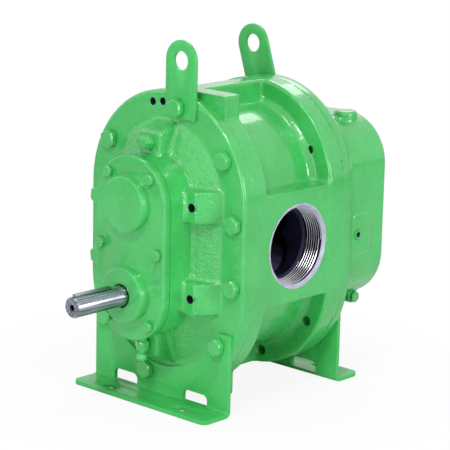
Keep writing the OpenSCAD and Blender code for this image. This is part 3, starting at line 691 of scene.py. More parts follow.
@dataclass
class CastSurface:
    """Turns a sharp copy into a casting with filled inner corners and broken outer edges."""

    voxel_mm: float
    fillet_mm: float
    edge_mm: float
    rounds: int
    keep_faces: float

    def offset(self, points: Array, edges: Array, degree: Array) -> Array:
        """Way from each vertex to the mean of its neighbours.

        Args:
            points: the vertices.
            edges: edge table.
            degree: vertex degrees.

        Returns:
            One vector for each vertex.
        """
        total = np.zeros_like(points)
        np.add.at(total, edges[:, 0], points[edges[:, 1]])
        np.add.at(total, edges[:, 1], points[edges[:, 0]])
        return total / degree[:, None] - points

    def apply(self, obj: Piece, free: Choice, settle: Choice) -> None:
        """Remeshes the object, fills its inner corners and rounds its outer edges.

        Args:
            obj: the sharp copy.
            free: gives 1 for points that may move and 0 for those that stay, from millimetres.
            settle: puts points back on the machined faces, in millimetres.
        """
        low, high = np.array(obj.bound_box).min(0), np.array(obj.bound_box).max(0)
        voxel = obj.modifiers.new("cast", "REMESH")
        voxel.mode = "VOXEL"
        voxel.voxel_size = self.voxel_mm * MM
        bake_modifiers(obj)
        mesh = obj.data
        points = read_triples(mesh.vertices, "co")
        edges = np.empty(len(mesh.edges) * 2, dtype=np.int64)
        mesh.edges.foreach_get("vertices", edges)
        edges = edges.reshape(-1, 2)
        degree = np.bincount(edges.ravel(), minlength=len(points)).astype(float)
        share = free(points / MM)[:, None]
        inner, outer = ((self.voxel_mm ** 2) / (4.0 * radius) * MM
                        for radius in (self.fillet_mm, self.edge_mm))
        for _ in range(self.rounds):
            mesh.vertices.foreach_set("co", points.ravel())
            mesh.update()
            normal = read_triples(mesh.vertices, "normal")
            rise = (self.offset(points, edges, degree) * normal).sum(1, keepdims=True)
            move = np.clip(rise - inner, 0.0, None) + np.clip(rise + outer, None, 0.0)
            points = points + normal * move * 0.8 * share
        for _ in range(2):
            points = points + self.offset(points, edges, degree) * 0.35 * np.maximum(share, 0.25)
        points = np.clip(settle(points / MM) * MM, low, high)
        mesh.vertices.foreach_set("co", points.ravel())
        mesh.update()
        thin = obj.modifiers.new("thin", "DECIMATE")
        thin.ratio = self.keep_faces
        bake_modifiers(obj)
        soften(obj.data, 50.0)


def near_any(points: Array, spots: Iterable[Sequence[float]], reach: float) -> Array:
    """Marks points near any of some axes along Y.

    Args:
        points: points in millimetres.
        spots: offsets of the axes from the machine's middle.
        reach: radius round each axis.

    Returns:
        True for the points that are near.
    """
    out = np.zeros(len(points), dtype=bool)
    for x, z in spots:
        out |= np.hypot(points[:, 0] - x, points[:, 2] - Z_MID - z) < reach
    return out


def shaft_distance(points: Array) -> Array:
    """Distance of points from the nearer shaft axis, in millimetres."""
    return np.minimum(*(np.hypot(points[:, 0], points[:, 2] - z) for z in (Z_LOW, Z_HIGH)))


def outline_distance(points: Array) -> Array:
    """Distance of points from the line between the two shaft axes, in millimetres."""
    return np.hypot(points[:, 0], np.maximum(np.abs(points[:, 2] - Z_MID) - HALF_SPAN, 0.0))


def to_outline(points: Array, chosen: Array, radius: float) -> None:
    """Moves chosen points onto the outline at a radius about the two shafts.

    Args:
        points: points in millimetres, changed in place.
        chosen: which points to move.
        radius: the outline's radius.
    """
    part = points[chosen]
    centre = Z_MID + np.clip(part[:, 2] - Z_MID, -HALF_SPAN, HALF_SPAN)
    scale = radius / np.hypot(part[:, 0], part[:, 2] - centre)
    points[chosen] = np.column_stack(
        (part[:, 0] * scale, part[:, 1], centre + (part[:, 2] - centre) * scale))


def to_circles(points: Array, spots: Iterable[Sequence[float]], radius: float,
               slack: float = 1.3) -> None:
    """Moves points near the walls of round holes along Y onto them.

    Args:
        points: points in millimetres, changed in place.
        spots: offsets of the holes' axes from the machine's middle.
        radius: the holes' radius.
        slack: how far from the wall a point may be.
    """
    for x, z in spots:
        off = points[:, [0, 2]] - (x, Z_MID + z)
        reach = np.hypot(off[:, 0], off[:, 1])
        near = np.abs(reach - radius) < slack
        points[np.ix_(near, (0, 2))] = off[near] * (radius / reach[near])[:, None] + (x, Z_MID + z)


def two(x: float, z: float) -> list[Pair]:
    """A spot and its mirror image on the other side."""
    return [(s * x, z) for s in (-1, 1)]


def four(x: float, z: float) -> list[Pair]:
    """A spot and its mirror images on the other side, below and above."""
    return [(s * x, t * z) for s in (-1, 1) for t in (-1, 1)]


FLANGE_R = 147.0
JOINT_Y = 96.0
PLATE_Y = -113.0
LUG_ROOT_Y = -118.0
LUG_END_Y = -143.0
HOUSING_Y = -169.0
JACK_R = 5.5
TAPPED_R = 6.35
BOLT_ZONE = 11.5
PORT_ZONE = 64.0
CORNER = (108.78, 128.474)
SIDE = (128.5, 43.815)
CROWN = (25.0, 190.0)
JACKS = [(-27.42, 191.59), (-8.45, 194.23)]
INNER = [(104.0, 120.0), (113.26, 43.815), (113.26, -43.815)]
GUARDS = four(77.75, HALF_SPAN)
JACK_SPOTS = [(s * x, s * z) for x, z in JACKS for s in (-1, 1)]
PLATE_SPOTS = [spot for x, z in (CORNER, SIDE, CROWN, *JACKS, *INNER) for spot in four(x, z)]


@dataclass
class Assembly:
    """A group of pieces, with the workshop and the finishes that make it."""

    shop: Workshop
    finish: Finishes


@dataclass
class Castings(Assembly):
    """Rotor casing, both head plates and the gear cover."""

    bore_r: float = 95.4
    housing_r: float = 65.25
    barrel_wall: float = 6.0
    housing_wall: float = 4.0
    waist_x: float = 90.0
    passage_r: float = 57.6
    flange_y: float = 69.0
    plate_back_y: float = -110.6
    housing_root_y: float = -126.0
    hole_floor_y: float = -164.0
    gear_cover_y: float = 116.0
    boss: Pair = (0.0, 143.75)
    boss_zone: float = 9.0
    lug_zone: float = 8.5

    def casing_free(self, points: Array) -> Array:
        """Marks the outer side of the casing's barrel, away from bolt holes and joint faces.

        Args:
            points: points in millimetres.

        Returns:
            1 for the points that may move.
        """
        port = np.hypot(points[:, 1], points[:, 2] - Z_MID) < PORT_ZONE
        flat = np.abs(points[:, 1]) > JOINT_Y - 1.5
        level = np.abs(points[:, 2] - Z_MID) < PORT_ZONE
        waist = (np.abs(points[:, 0]) < self.waist_x) & level
        inside = (shaft_distance(points) < self.bore_r + self.barrel_wall) | waist
        return (~(near_any(points, PLATE_SPOTS, BOLT_ZONE) | port | flat | inside)).astype(float)

    def casing_settle(self, points: Array) -> Array:
        """Puts the casing's joint faces on their planes and the flange rims on their outline.

        Args:
            points: points in millimetres, changed in place.

        Returns:
            The points.
        """
        reach = outline_distance(points)
        along = np.abs(points[:, 1])
        end = along > JOINT_Y - 1.8
        rim = (along > self.flange_y) & (reach > FLANGE_R - 1.7) & (reach < FLANGE_R + 0.3)
        to_outline(points, rim, FLANGE_R)
        points[end, 1] = np.sign(points[end, 1]) * JOINT_Y
        return points

    def casing_bare(self, points: Array) -> Array:
        """Marks the rotor bores and the port passages, for bare iron darkened with painted shade.

        Args:
            points: face centres in millimetres.

        Returns:
            True for the faces that are bare.
        """
        port = np.hypot(points[:, 1], points[:, 2] - Z_MID) < self.passage_r
        inner = port | (outline_distance(points) < self.bore_r + 2.0)
        return inner & (np.abs(points[:, 1]) < JOINT_Y - 1.0)

    def plate_free(self, points: Array) -> Array:
        """Marks the outer side of the drive-end head plate, away from holes.

        Args:
            points: points in millimetres.

        Returns:
            1 for the points that may move.
        """
        inner_r = self.housing_r - self.housing_wall
        between = (np.abs(points[:, 2] - Z_MID) < HALF_SPAN) & (np.abs(points[:, 0]) < inner_r)
        inside = (shaft_distance(points) < inner_r) | between
        holes = near_any(points, GUARDS, self.lug_zone) & (points[:, 1] < LUG_ROOT_Y)
        for spots, reach in ((PLATE_SPOTS, BOLT_ZONE), ([self.boss], self.boss_zone)):
            holes |= near_any(points, spots, reach)
        face = (points[:, 1] < HOUSING_Y + 2.0) | (points[:, 1] > -JOINT_Y - 2.0)
        return (~(holes | inside | face)).astype(float)

    def plate_settle(self, points: Array) -> Array:
        """Puts the plate's joint face, rim, housing and holes back on their true surfaces.

        Args:
            points: points in millimetres, changed in place.

        Returns:
            The points.
        """
        reach = outline_distance(points)
        end = points[:, 1] > -JOINT_Y - 1.5
        rim = (reach > FLANGE_R - 1.5) & (reach < FLANGE_R + 0.3)
        rim &= points[:, 1] > self.plate_back_y
        to_outline(points, rim, FLANGE_R)
        points[end, 1] = -JOINT_Y
        top = points[:, 1] < HOUSING_Y + 1.4
        wall = (points[:, 1] < self.housing_root_y) & (np.abs(reach - self.housing_r) < 1.4)
        to_outline(points, wall, self.housing_r)
        points[top, 1] = HOUSING_Y
        to_circles(points, JACK_SPOTS, JACK_R)
        lugs = points[:, 1] < LUG_ROOT_Y
        out = points[lugs]
        to_circles(out, GUARDS, TAPPED_R)
        points[lugs] = out
        return points

    def plate_bare(self, points: Array) -> Array:
        """Marks the walls of the jack holes and of the guard lugs' tapped holes, for bare iron
        darkened with painted shade.

        Args:
            points: face centres in millimetres.

        Returns:
            True for the faces that are bare.
        """
        tapped = near_any(points, GUARDS, TAPPED_R - 0.05) & (points[:, 1] < LUG_ROOT_Y)
        jacks = near_any(points, JACK_SPOTS, JACK_R - 0.05)
        return (jacks | tapped) & (points[:, 1] > self.hole_floor_y)

    def cast(self, node: str, name: str, surface: CastSurface, free: Choice, settle: Choice,
             material: Material, bare: Choice | None = None) -> None:
        """Makes one casting.

        Args:
            node: the CAD node.
            name: the piece's name.
            surface: how its corners and edges are rounded.
            free: marks points that may move.
            settle: puts points back on the machined faces.
            material: the finish.
            bare: marks face centres that get bare iron darkened with painted shade, if any.
        """
        obj = self.shop.copy(node, name, flatten=False)
        surface.apply(obj, free, settle)
        obj.data.materials.append(material)
        if bare is not None:
            self.shop.bare(obj, self.finish.shaded_bore, bare)
        self.shop.place(obj, MACHINE, "green_paint", node)

    def build(self) -> None:
        """Builds all castings."""
        self.cast("casing", "casing_casting", CastSurface(2.6, 9.0, 4.0, 45, 0.75),
                  self.casing_free, self.casing_settle, self.finish.fine_cast, self.casing_bare)
        self.cast("drive_head_plate", "drive_head_casting", CastSurface(2.1, 11.0, 3.0, 60, 0.85),
                  self.plate_free, self.plate_settle, self.finish.cast, self.plate_bare)
        self.cast("gear_cover", "gear_cover_casting", CastSurface(2.4, 6.0, 5.0, 20, 0.85),
                  lambda points: (points[:, 1] > self.gear_cover_y).astype(float),
                  lambda points: points, self.finish.fine_cast)
        self.shop.skin("gear_head_plate", self.finish.machined, MACHINE, 0.5)
        self.shop.skin("drive_end_cover", self.finish.machined, MACHINE, 0.6)


@dataclass
class HoleEdges(Assembly):
    """Round edges of the drilled holes in the drive-end head plate, with walls in painted shade."""

    skirt: float = 1.7
    rim: float = 1.5
    lip: float = 0.25
    wall: float = 0.15
    proud: float = 0.06
    sunk: float = 0.03
    chamfer: float = 0.3
    around: int = 40

    def build(self) -> None:
        """Builds the edges of all jack holes and tapped lug holes as one piece.

        Each hole has a narrow flat edge, a small chamfer, and its wall and bottom in painted shade.
        """
        points, faces, paint = [], [], []
        around = self.around
        holes = ([(spot, JACK_R, PLATE_Y, 12.0) for spot in JACK_SPOTS]
                 + [(spot, TAPPED_R, LUG_END_Y, 20.0) for spot in GUARDS])
        for (x, z), radius, face, deep in holes:
            section = [(radius + self.skirt, -self.sunk), (radius + self.rim, self.proud),
                       (radius + self.lip, self.proud), (radius - self.wall, -self.chamfer),
                       (radius - self.wall, -deep)]
            starts = [len(points) + k * around for k in range(len(section))]
            points += [((x + px) * MM, (face - rise) * MM, (Z_MID + z + pz) * MM)
                       for r, rise in section for px, pz in circle(r, around)]
            faces += [(a + i, b + i, b + (i + 1) % around, a + (i + 1) % around)
                      for a, b in zip(starts, starts[1:]) for i in range(around)]
            # Each hole's wall and bottom disc take the shaded bore finish: a dark sheet of painted
            # shade for the inside of the hole.
            faces.append(tuple(range(starts[-1], starts[-1] + around)))
            paint += [0] * (3 * around) + [1] * (around + 1)
        mesh = bpy.data.meshes.new("hole_edges")
        mesh.from_pydata(points, [], faces)
        obj = to_object("hole_edges", mesh)
        for material in (self.finish.machined, self.finish.shaded_bore):
            mesh.materials.append(material)
        mesh.polygons.foreach_set("material_index", paint)
        soften(mesh, 30.0)
        self.shop.place(obj, MACHINE, "green_paint")


@dataclass
class PlateWork(Assembly):
    """Feet and lifting lugs, bent and cut from plate."""

    round_mm: float = 0.9

    def build(self) -> None:
        """Builds the four plates."""
        for node in ("front_foot", "rear_foot", "front_lifting_lug", "rear_lifting_lug"):
            self.shop.skin(node, self.finish.sheet, MACHINE, self.round_mm)


@dataclass(frozen=True)
class BoltSize:
    """Sizes of one hexagon head bolt, in millimetres."""

    flats: float
    head: float
    shank: float
    grip: float


@dataclass
class BoltSet:
    """Like bolts that go into one node, all along Y."""

    name: str
    size: BoltSize
    seats: list[Triple]
    facing: float
    steps: int = 6
    seed: int = 7
    corner: float = 0.16
    crown: float = 0.93
    bearing: float = 0.95
    bearing_mm: float = 0.5

    def profile(self, work: bmesh.types.BMesh) -> None:
        """Adds one bolt to a mesh, its head towards +Z and its seat at 0.

        Args:
            work: the mesh.
        """
        flat, top = self.size.flats / 2, self.size.head
        soft, crown = flat * self.corner, flat * self.crown
        rim = []
        for side in range(6):
            turn = side * math.pi / 3
            arm = (flat - soft) / math.cos(math.pi / 6)
            centre = arm * np.array([math.cos(turn), math.sin(turn)])
            for k in range(self.steps):
                a = turn + math.radians(-30.0 + 60.0 * k / (self.steps - 1))
                rim.append(centre + soft * np.array([math.cos(a), math.sin(a)]))
        count = len(rim)

        def ring(points: Iterable[Triple]) -> list[bmesh.types.BMVert]:
            """One loop of vertices."""
            return [work.verts.new(Vector(p) * MM) for p in points]

        def level(radius: float, height: float) -> list[Triple]:
            """Points of a circle at the rim's angles."""
            return [(radius * x / math.hypot(x, y), radius * y / math.hypot(x, y), height)
                    for x, y in rim]

        def slope(base: float, start: float, fall: float) -> list[Triple]:
            """The rim with heights that change beyond a radius."""
            return [(p[0], p[1], base + max(0.0, math.hypot(*p) - start) * fall) for p in rim]

        shank, seat = self.size.shank / 2, flat * self.bearing
        loops = [ring(points) for points in (
            level(shank, -self.size.grip), level(shank, 0.0), level(seat, 0.0),
            level(seat, self.bearing_mm), slope(self.bearing_mm, flat, 0.35),
            slope(top, crown, -0.6), level(crown, top), level(crown * 0.9, top))]
        for lower, upper in zip(loops, loops[1:]):
            for k in range(count):
                work.faces.new((lower[k], lower[(k + 1) % count], upper[(k + 1) % count], upper[k]))
        work.faces.new(loops[-1])
        work.faces.new(list(reversed(loops[0])))

    def tree(self) -> bpy.types.NodeTree:
        """Geometry nodes that put the pattern on each point with its own turn.

        Returns:
            The node tree.
        """
        tree = bpy.data.node_groups.new(self.name + "_tree", "GeometryNodeTree")
        for name, kind in (("Geometry", "Geometry"), ("Pattern", "Object"), ("Finish", "Material"),
                           ("Seed", "Int"), ("Largest Turn", "Float")):
            tree.interface.new_socket(name, in_out="INPUT", socket_type="NodeSocket" + kind)
        tree.interface.new_socket("Geometry", in_out="OUTPUT", socket_type="NodeSocketGeometry")
        kinds = {"group": "NodeGroupInput", "out": "NodeGroupOutput",
                 "info": "GeometryNodeObjectInfo", "chance": "FunctionNodeRandomValue",
                 "turn": "ShaderNodeCombineXYZ", "put": "GeometryNodeInstanceOnPoints",
                 "real": "GeometryNodeRealizeInstances",
                 "paint": "GeometryNodeSetMaterial", "points": "GeometryNodeMeshToPoints"}
        node = {key: tree.nodes.new(kind) for key, kind in kinds.items()}
        node["chance"].data_type = "FLOAT"
        for source, output, target, entry in (
                ("group", "Geometry", "points", "Mesh"), ("points", "Points", "put", "Points"),
                ("group", "Pattern", "info", "Object"), ("info", "Geometry", "put", "Instance"),
                ("group", "Seed", "chance", "Seed"), ("group", "Largest Turn", "chance", 3),
                ("chance", 1, "turn", "Y"), ("turn", "Vector", "put", "Rotation"),
                ("put", "Instances", "real", "Geometry"), ("real", "Geometry", "paint", "Geometry"),
                ("group", "Finish", "paint", "Material"), ("paint", "Geometry", "out", "Geometry")):
            tree.links.new(node[source].outputs[output], node[target].inputs[entry])
        return tree

    def build(self, material: Material) -> Piece:
        """Makes the bolts as one plain mesh.

        Args:
            material: their finish.

        Returns:
            The object.
        """
        work = bmesh.new()
        self.profile(work)
        turn = Matrix.Rotation(math.radians(90.0 * self.facing), 4, "X")
        bmesh.ops.transform(work, matrix=turn, verts=work.verts)
        single = to_mesh(work, bpy.data.meshes.new(self.name + "_pattern"))
        soften(single, 20.0)
        pattern, tree = to_object(self.name + "_pattern", single), self.tree()
        mesh = bpy.data.meshes.new(self.name)
        mesh.from_pydata([tuple(v * MM for v in seat) for seat in self.seats], [], [])
        obj = to_object(self.name, mesh)
        mod = obj.modifiers.new("bolts", "NODES")
        mod.node_group = tree
        ids = {item.name: item.identifier for item in tree.interface.items_tree
               if item.in_out == "INPUT"}
        mod[ids["Pattern"]] = pattern
        mod[ids["Finish"]] = material
        mod[ids["Seed"]] = self.seed
        mod[ids["Largest Turn"]] = math.tau
        bake_modifiers(obj)
        soften(obj.data, 20.0)
        bpy.data.objects.remove(pattern)
        return obj


@dataclass
class Fasteners(Assembly):
    """Bolts of the head plates, feet, lugs and covers."""

    plate_bolt: BoltSize = BoltSize(23.8, 9.9, 15.875, 30.0)
    cover_bolt: BoltSize = BoltSize(14.3, 6.2, 9.525, 20.0)

    def seats(self, spots: Iterable[Pair], plane: float) -> list[Triple]:
        """Seats in millimetres, from offsets from the middle and a plane along Y."""
        return [(x, plane, Z_MID + z) for x, z in spots]

    def build(self) -> None:
        """Builds every set of bolts."""
        free = two(*CORNER) + four(*SIDE)
        feet = [(-CORNER[0], -CORNER[1]), (CORNER[0], -CORNER[1]), (-CROWN[0], -CROWN[1])]
        cover = four(39.5, 102.04) + two(53.79, 0.0)
        case = two(46.86, 146.0) + two(117.0, 0.0) + two(57.96, -117.78)
        self.one("drive_plate_bolts", self.plate_bolt, self.seats(free, PLATE_Y), 1.0)
        self.one("cover_bolts", self.cover_bolt, self.seats(cover, -183.0), 1.0)
        self.one("gear_cover_bolts", self.cover_bolt, self.seats(case, 202.0), -1.0)
        self.pair("foot_bolts", self.seats(feet, -119.0))
        self.pair("lug_bolts", self.seats([CROWN], -118.0))
        self.shop.dress("gear_plate_bolts", self.finish.dark)

    def one(self, node: str, size: BoltSize, seats: list[Triple], facing: float) -> None:
        """One node with bolts whose heads are towards -Y for facing 1 and +Y for facing -1."""
        obj = BoltSet(node + "_hex", size, seats, facing).build(self.finish.machined)
        self.shop.place(obj, MACHINE, "green_paint", node)

    def pair(self, node: str, seats: list[Triple]) -> None:
        """One node with bolts at both ends of the machine.

        Args:
            node: the CAD node.
            seats: where the drive-end heads sit.
        """
        mirrored = [(-x, -y, z) for x, y, z in seats]
        front = BoltSet(node + "_hex", self.plate_bolt, seats, 1.0).build(self.finish.machined)
        back = BoltSet(node + "_back", self.plate_bolt, mirrored, -1.0, seed=11)
        back = back.build(self.finish.machined)
        work = bmesh.new()
        work.from_mesh(front.data)
        work.from_mesh(back.data)
        to_mesh(work, front.data)
        bpy.data.objects.remove(back)
        soften(front.data, 20.0)
        self.shop.place(front, MACHINE, "green_paint", node)


@dataclass
class PipePort(Assembly):
    """Cut pipe thread and bare mouth of one port."""

    side: float
    face_x: float = 146.0
    root_r: float = 55.9
    crest_r: float = 53.6
    wall_r: float = 56.98
    pitch: float = 3.9
    start: float = 3.2
    depth: float = 28.2
    fade_in: float = 0.35
    taper: float = PIPE_TAPER
    around: int = 128

    def piece(self, kind: str, points: list[Triple], faces: Faces, material: Material) -> None:
        """Places one piece of the port.

        Args:
            kind: what it is, the last word of its name.
            points: its points in metres.
            faces: indices of each face's points.
            material: its finish.
        """
        mesh = shell(kind, points, faces)
        obj = to_object(("discharge_" if self.side > 0 else "inlet_") + kind, mesh, material)
        soften(mesh, 25.0)
        self.shop.place(obj, MACHINE, "ground_steel")

    def thread(self) -> None:
        """Helical thread as one closed shell against the port's wall."""
        root, crest, around = self.root_r, self.crest_r, self.around
        profile = [(0.0, root), (0.1, root), (0.42, crest), (0.58, crest), (0.9, root)]
        lap_rows = len(profile)
        rows = int(self.depth / self.pitch) * lap_rows
        points: list[Triple] = []
        for k in range(rows + 1):
            lap, step = divmod(k, lap_rows)
            share, radius = profile[step]
            for i, (y, z) in enumerate(circle(1.0, around)):
                along = min(self.depth, max(0.0, (lap + share + i / around) * self.pitch))
                fade = min(1.0, along / self.fade_in)
                r = root + (radius - root) * fade - along * self.taper
                points.append((along, r * y, r * z))
        starts = [k * around for k in range(rows + 1)]
        faces: Faces = [(a + i, b + i, b + i + 1, a + i + 1)
                        for a, b in zip(starts, starts[1:]) for i in range(around - 1)]
        last = around - 1
        faces += [(a + last, b + last, d, c) for a, b, c, d in
                  zip(starts, starts[1:], starts[lap_rows:], starts[lap_rows + 1:])]
        ends = []
        for along, radius in ((0.0, root), (0.0, self.wall_r), (self.depth, self.wall_r),
                              (self.depth, crest - 1.0)):
            ends.append(len(points))
            points += [(along, y, z) for y, z in circle(radius, around)]
        faces += tube(ends, around)
        world = [((self.face_x - self.start - along) * self.side * MM, y * self.side * MM,
                  (Z_MID + z) * MM) for along, y, z in points]
        self.piece("thread", world, faces, self.finish.thread)

    def mouth(self) -> None:
        """Bare chamfered ring round the thread's mouth, with an uneven outer edge."""
        section = [(-0.05, 59.9), (0.1, 59.3), (0.1, 57.6), (-1.2, 56.3), (-3.4, 54.2),
                   (-4.2, 56.9), (-1.6, 57.05)]
        worn_rows = 2
        points = []
        for k, (x, radius) in enumerate(section):
            for i in range(self.around):
                angle = math.tau * i / self.around
                wear_and_sheen = (0.35 * math.sin(7 * angle) + 0.3 * math.sin(19 * angle + 1.0)
                        + 0.2 * math.sin(43 * angle)) if k < worn_rows else 0.0
                r = radius + wear_and_sheen
                points.append(((self.face_x + x) * self.side * MM, r * math.cos(angle) * MM,
                               (Z_MID + r * math.sin(angle)) * MM))
        starts = [k * self.around for k in (*range(len(section)), 0)]
        self.piece("mouth", points, tube(starts, self.around), self.finish.mouth)

    def build(self) -> None:
        """Builds the thread and the mouth."""
        self.thread()
        self.mouth()


@dataclass
class Fittings(Assembly):
    """Plugs, relief fitting and breather."""

    recess_r: float = 4.5

    def build(self) -> None:
        """Builds each fitting with rounded edges."""
        for node in ("filler_plug", "oil_breather", "oil_drain_plug"):
            self.shop.skin(node, self.finish.machined, MACHINE, 0.5)
        self.level_plug()
        self.relief()

    def level_plug(self) -> None:
        """Oil level plug with bare iron darkened with painted shade in its recess."""
        low, high = (np.array(corner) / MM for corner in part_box("oil_level_plug"))
        middle = (low + high) / 2

        def recess(points: Array) -> Array:
            """Marks the inside of the recess."""
            x, off = points[:, 0], np.hypot(*(points[:, 1:] - middle[1:]).T)
            return (high[0] - x > 0.3) & (x > middle[0]) & (off < self.recess_r)

        plug = self.shop.skin("oil_level_plug", self.finish.machined, MACHINE, 0.3)
        self.shop.bare(plug, self.finish.shaded_bore, recess)

    def relief(self) -> None:
        """Relief fitting under the bearing housing: shank, hexagon, collar, neck and round cap."""
        low, high = (np.array(corner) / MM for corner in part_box("relief_fitting"))
        x, y, foot, top = (low[0] + high[0]) / 2, (low[1] + high[1]) / 2, low[2], high[2]
        seat, ball, flats, around = foot + 37.5, 7.7, 17.0 / 2, 48
        lathe = [(1e-4, top), (6.0, top), (6.0, seat - 6.2), (6.2, seat - 6.4), (8.4, seat - 16.0),
                 (8.4, seat - 18.4), (7.4, seat - 19.4), (4.4, seat - 20.2), (4.3, seat - 23.0)]
        lathe += [(max(ball * math.sin(a), 1e-4), foot + ball + ball * math.cos(a))
                  for a in np.linspace(0.6, math.pi, 14)]
        shank = [[(px, py, z) for px, py in circle(r, 40)] for r, z in lathe]
        side = math.pi / 3
        hexagon = [flats / math.cos((math.tau * i / around + side / 2) % side - side / 2) * 0.985
                   for i in range(around)]
        chamfer = [flats * 0.93] * around
        levels = ((chamfer, 6.0), (hexagon, 6.9), (hexagon, 15.2), (chamfer, 16.1))
        nut = [[(r * px, r * py, seat - below) for r, (px, py) in zip(radii, circle(1.0, around))]
               for radii, below in levels]
        points: list[Triple] = []
        faces: Faces = []
        for rows in (shank, nut):
            count = len(rows[0])
            starts = [len(points) + k * count for k in range(len(rows))]
            points += [((px + x) * MM, (py + y) * MM, pz * MM)
                       for row in rows for px, py, pz in row]
            faces += tube(starts, count)
            faces += [tuple(range(start, start + count)) for start in (starts[0], starts[-1])]
        mesh = shell("relief_fitting_turned", points, faces, clean=True)
        obj = to_object("relief_fitting_turned", mesh, self.finish.machined)
        soften(mesh, 30.0)
        self.shop.place(obj, MACHINE, "green_paint", "relief_fitting")


@dataclass
class Running(Assembly):
    """Shafts, rotors, gears, bearings and seals."""

    centre_r: float = 4.45
    centre_depth: float = 16.0

    def build(self) -> None:
        """Builds or dresses each running piece."""
        finish, skin = self.finish, self.shop.skin
        shaft = skin("drive_shaft", finish.shaft, DRIVE, 0.25, "ground_steel")
        self.centre_hole(shaft)
        skin("coupling_key", finish.shaft, DRIVE, 0.3, "ground_steel")
        for node, material, body, slot in (
                ("driven_shaft", finish.shaft, DRIVEN, "ground_steel"),
                ("drive_rotor", finish.iron, DRIVE, "rotor_iron"),
                ("driven_rotor", finish.iron, DRIVEN, "rotor_iron"),
                ("drive_gear", finish.dark, DRIVE, "dark_steel"),
                ("driven_gear", finish.dark, DRIVEN, "dark_steel"),
                ("lip_seal", finish.seal, MACHINE, "seal_rubber"),
                ("oil_slinger", finish.rings, DRIVE, "ground_steel")):
            skin(node, material, body, 0.0, slot)
        for material, nodes in (
                (finish.rings, ("drive_gear_key", "driven_gear_key", "drive_inner_rings",
                                "driven_inner_rings", "dowel_pins", "drive_end_outer_rings",
                                "gear_end_outer_rings", "retainer_screws", "drive_front_balls",
                                "drive_rear_balls", "driven_front_balls", "driven_rear_balls")),
                (finish.dark, ("drive_gear_nut", "driven_gear_nut", "drive_bearing_nut",
                               "driven_bearing_nut", "plate_seals", "bearing_retainers")),
                (finish.brass, ("drive_front_cage", "drive_rear_cage", "driven_front_cage",
                                "driven_rear_cage")),
                (finish.fibre, ("cover_gasket", "gear_cover_gasket"))):
            for node in nodes:
                self.shop.dress(node, material)

    def centre_hole(self, shaft: Piece) -> None:
        """Gives the centre hole in the shaft's end bare iron darkened with painted shade.

        Args:
            shaft: the drive shaft's piece.
        """
        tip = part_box("drive_shaft")[0][1] / MM

        def hole(points: Array) -> Array:
            """Marks the inside of the centre hole."""
            deep, reach = points[:, 1] - tip, np.hypot(points[:, 0], points[:, 2] - Z_LOW)
            return (deep > 0.2) & (deep < self.centre_depth) & (reach < self.centre_r)

        self.shop.bare(shaft, self.finish.shaded_bore, hole)


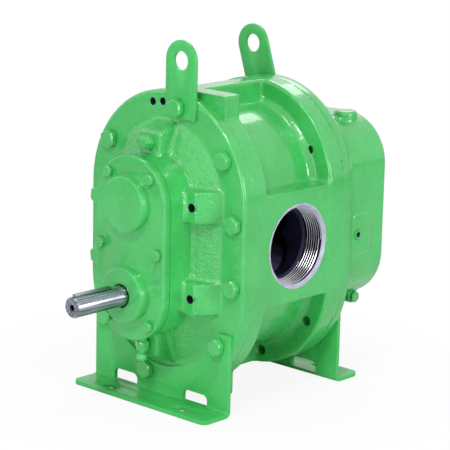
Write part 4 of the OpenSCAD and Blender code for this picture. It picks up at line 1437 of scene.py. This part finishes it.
@dataclass
class Studio:
    """Camera, lamps, white surroundings and floor."""

    place: Triple = (1.83163, -1.99363, 0.8683)
    azimuth: float = 42.44
    elevation: float = 13.26
    roll: float = 1.31
    lens: float = 156.02
    floor_colour: Triple = (0.87, 0.87, 0.88)
    aim: Triple = (0.0, 0.0, 0.23)
    calm: float = 0.28
    floor_half: float = 14.0
    lamps: list[tuple[Triple, float, float]] = field(default_factory=lambda: [
        ((0.9, -1.9, 2.3), 0.32, 27.0), ((2.8, 0.3, 0.8), 1.0, 29.0),
        ((0.6, -2.3, 0.42), 0.9, 11.5), ((0.5, -0.4, 2.6), 0.5, 8.0),
        ((-1.6, -1.9, 1.2), 1.2, 3.0), ((-0.33, -2.4, 1.75), 0.2, 3.0),
        ((-1.0, 1.7, 2.3), 1.4, 15.0)])

    def camera(self) -> None:
        """Camera at the photograph's place and angle."""
        az, el, roll = (math.radians(v) for v in (self.azimuth, self.elevation, self.roll))
        back = Vector((math.sin(az) * math.cos(el), -math.cos(az) * math.cos(el), math.sin(el)))
        right = Vector((math.cos(az), math.sin(az), 0.0))
        up = back.cross(right)
        turned = math.cos(roll) * right + math.sin(roll) * up
        upright = -math.sin(roll) * right + math.cos(roll) * up
        data = bpy.data.cameras.new("photo_camera")
        data.lens, data.sensor_width, data.sensor_fit = self.lens, 36.0, "HORIZONTAL"
        data.clip_start, data.clip_end = 0.05, 60.0
        cam = bpy.data.objects.new("photo_camera", data)
        angle = Matrix((turned, upright, back)).transposed().to_4x4()
        cam.matrix_world = Matrix.Translation(self.place) @ angle
        bpy.context.scene.collection.objects.link(cam)
        bpy.context.scene.camera = cam

    def light(self) -> None:
        """Soft area lamps aimed at the machine, each with its place, size and power."""
        for k, (spot, size, power) in enumerate(self.lamps):
            data = bpy.data.lights.new(f"soft_lamp_{k}", "AREA")
            data.shape, data.size, data.energy = "DISK", size, power
            lamp = bpy.data.objects.new(f"soft_lamp_{k}", data)
            turn = (Vector(self.aim) - Vector(spot)).to_track_quat("-Z", "Y").to_matrix().to_4x4()
            lamp.matrix_world = Matrix.Translation(spot) @ turn
            bpy.context.scene.collection.objects.link(lamp)

    def world(self) -> None:
        """White to the camera and in mirrored light, softer for the light on the machine."""
        world = bpy.data.worlds.new("studio_white")
        bpy.context.scene.world = world
        world.use_nodes = True
        sheet = NodeSheet(world.node_tree, "ShaderNodeOutputWorld")
        camera, glossy, through = (sheet.add("ShaderNodeLightPath", {}, {}, f"Is {ray} Ray")
                                   for ray in ("Camera", "Glossy", "Transmission"))
        calm, white = (sheet.add("ShaderNodeBackground", {}, {"Color": WHITE, "Strength": strength})
                       for strength in (self.calm, 1.0))
        seen = camera.larger(glossy).larger(through)
        sheet.show(sheet.add("ShaderNodeMixShader", {}, {0: seen, 1: calm, 2: white}))

    def floor(self) -> None:
        """Large pale floor that keeps the soft shadow."""
        mesh = bpy.data.meshes.new("studio_floor")
        corners = [(x * self.floor_half, y * self.floor_half, 0)
                   for x, y in ((-1, -1), (1, -1), (1, 1), (-1, 1))]
        mesh.from_pydata(corners, [], [(0, 1, 2, 3)])
        sheet = MaterialSheet("pale_floor")
        seen = sheet.add("ShaderNodeLightPath", {}, {}, "Is Camera Ray")
        away = sheet.add("ShaderNodeVectorMath", {"operation": "LENGTH"}, {0: sheet.place}, "Value")
        sheet.surface(Base_Color=self.floor_colour, Roughness=0.9)
        glow = sheet.add("ShaderNodeEmission", {}, {"Color": WHITE, "Strength": 1.0})
        share = seen * (away.ramp(0.15, 0.5) * 0.1 + 0.9)
        sheet.show(sheet.add("ShaderNodeMixShader", {}, {0: share, 1: sheet.shade, 2: glow}))
        obj = to_object("studio_floor", mesh, sheet.material)

    def build(self) -> None:
        """Sets up the whole studio."""
        bpy.context.scene.view_settings.view_transform = "Standard"
        self.camera()
        self.light()
        self.world()
        self.floor()


def main() -> None:
    """Builds the studio and the dressed machine."""
    logging.basicConfig(level=logging.INFO, format="%(message)s")
    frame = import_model()
    Studio().build()
    finish = Finishes()
    shop = Workshop(frame["nodes"])
    Castings(shop, finish).build()
    HoleEdges(shop, finish).build()
    PlateWork(shop, finish).build()
    Fasteners(shop, finish).build()
    for side in (1.0, -1.0):
        PipePort(shop, finish, side).build()
    Fittings(shop, finish).build()
    Running(shop, finish).build()


if __name__ == "__main__":
    main()
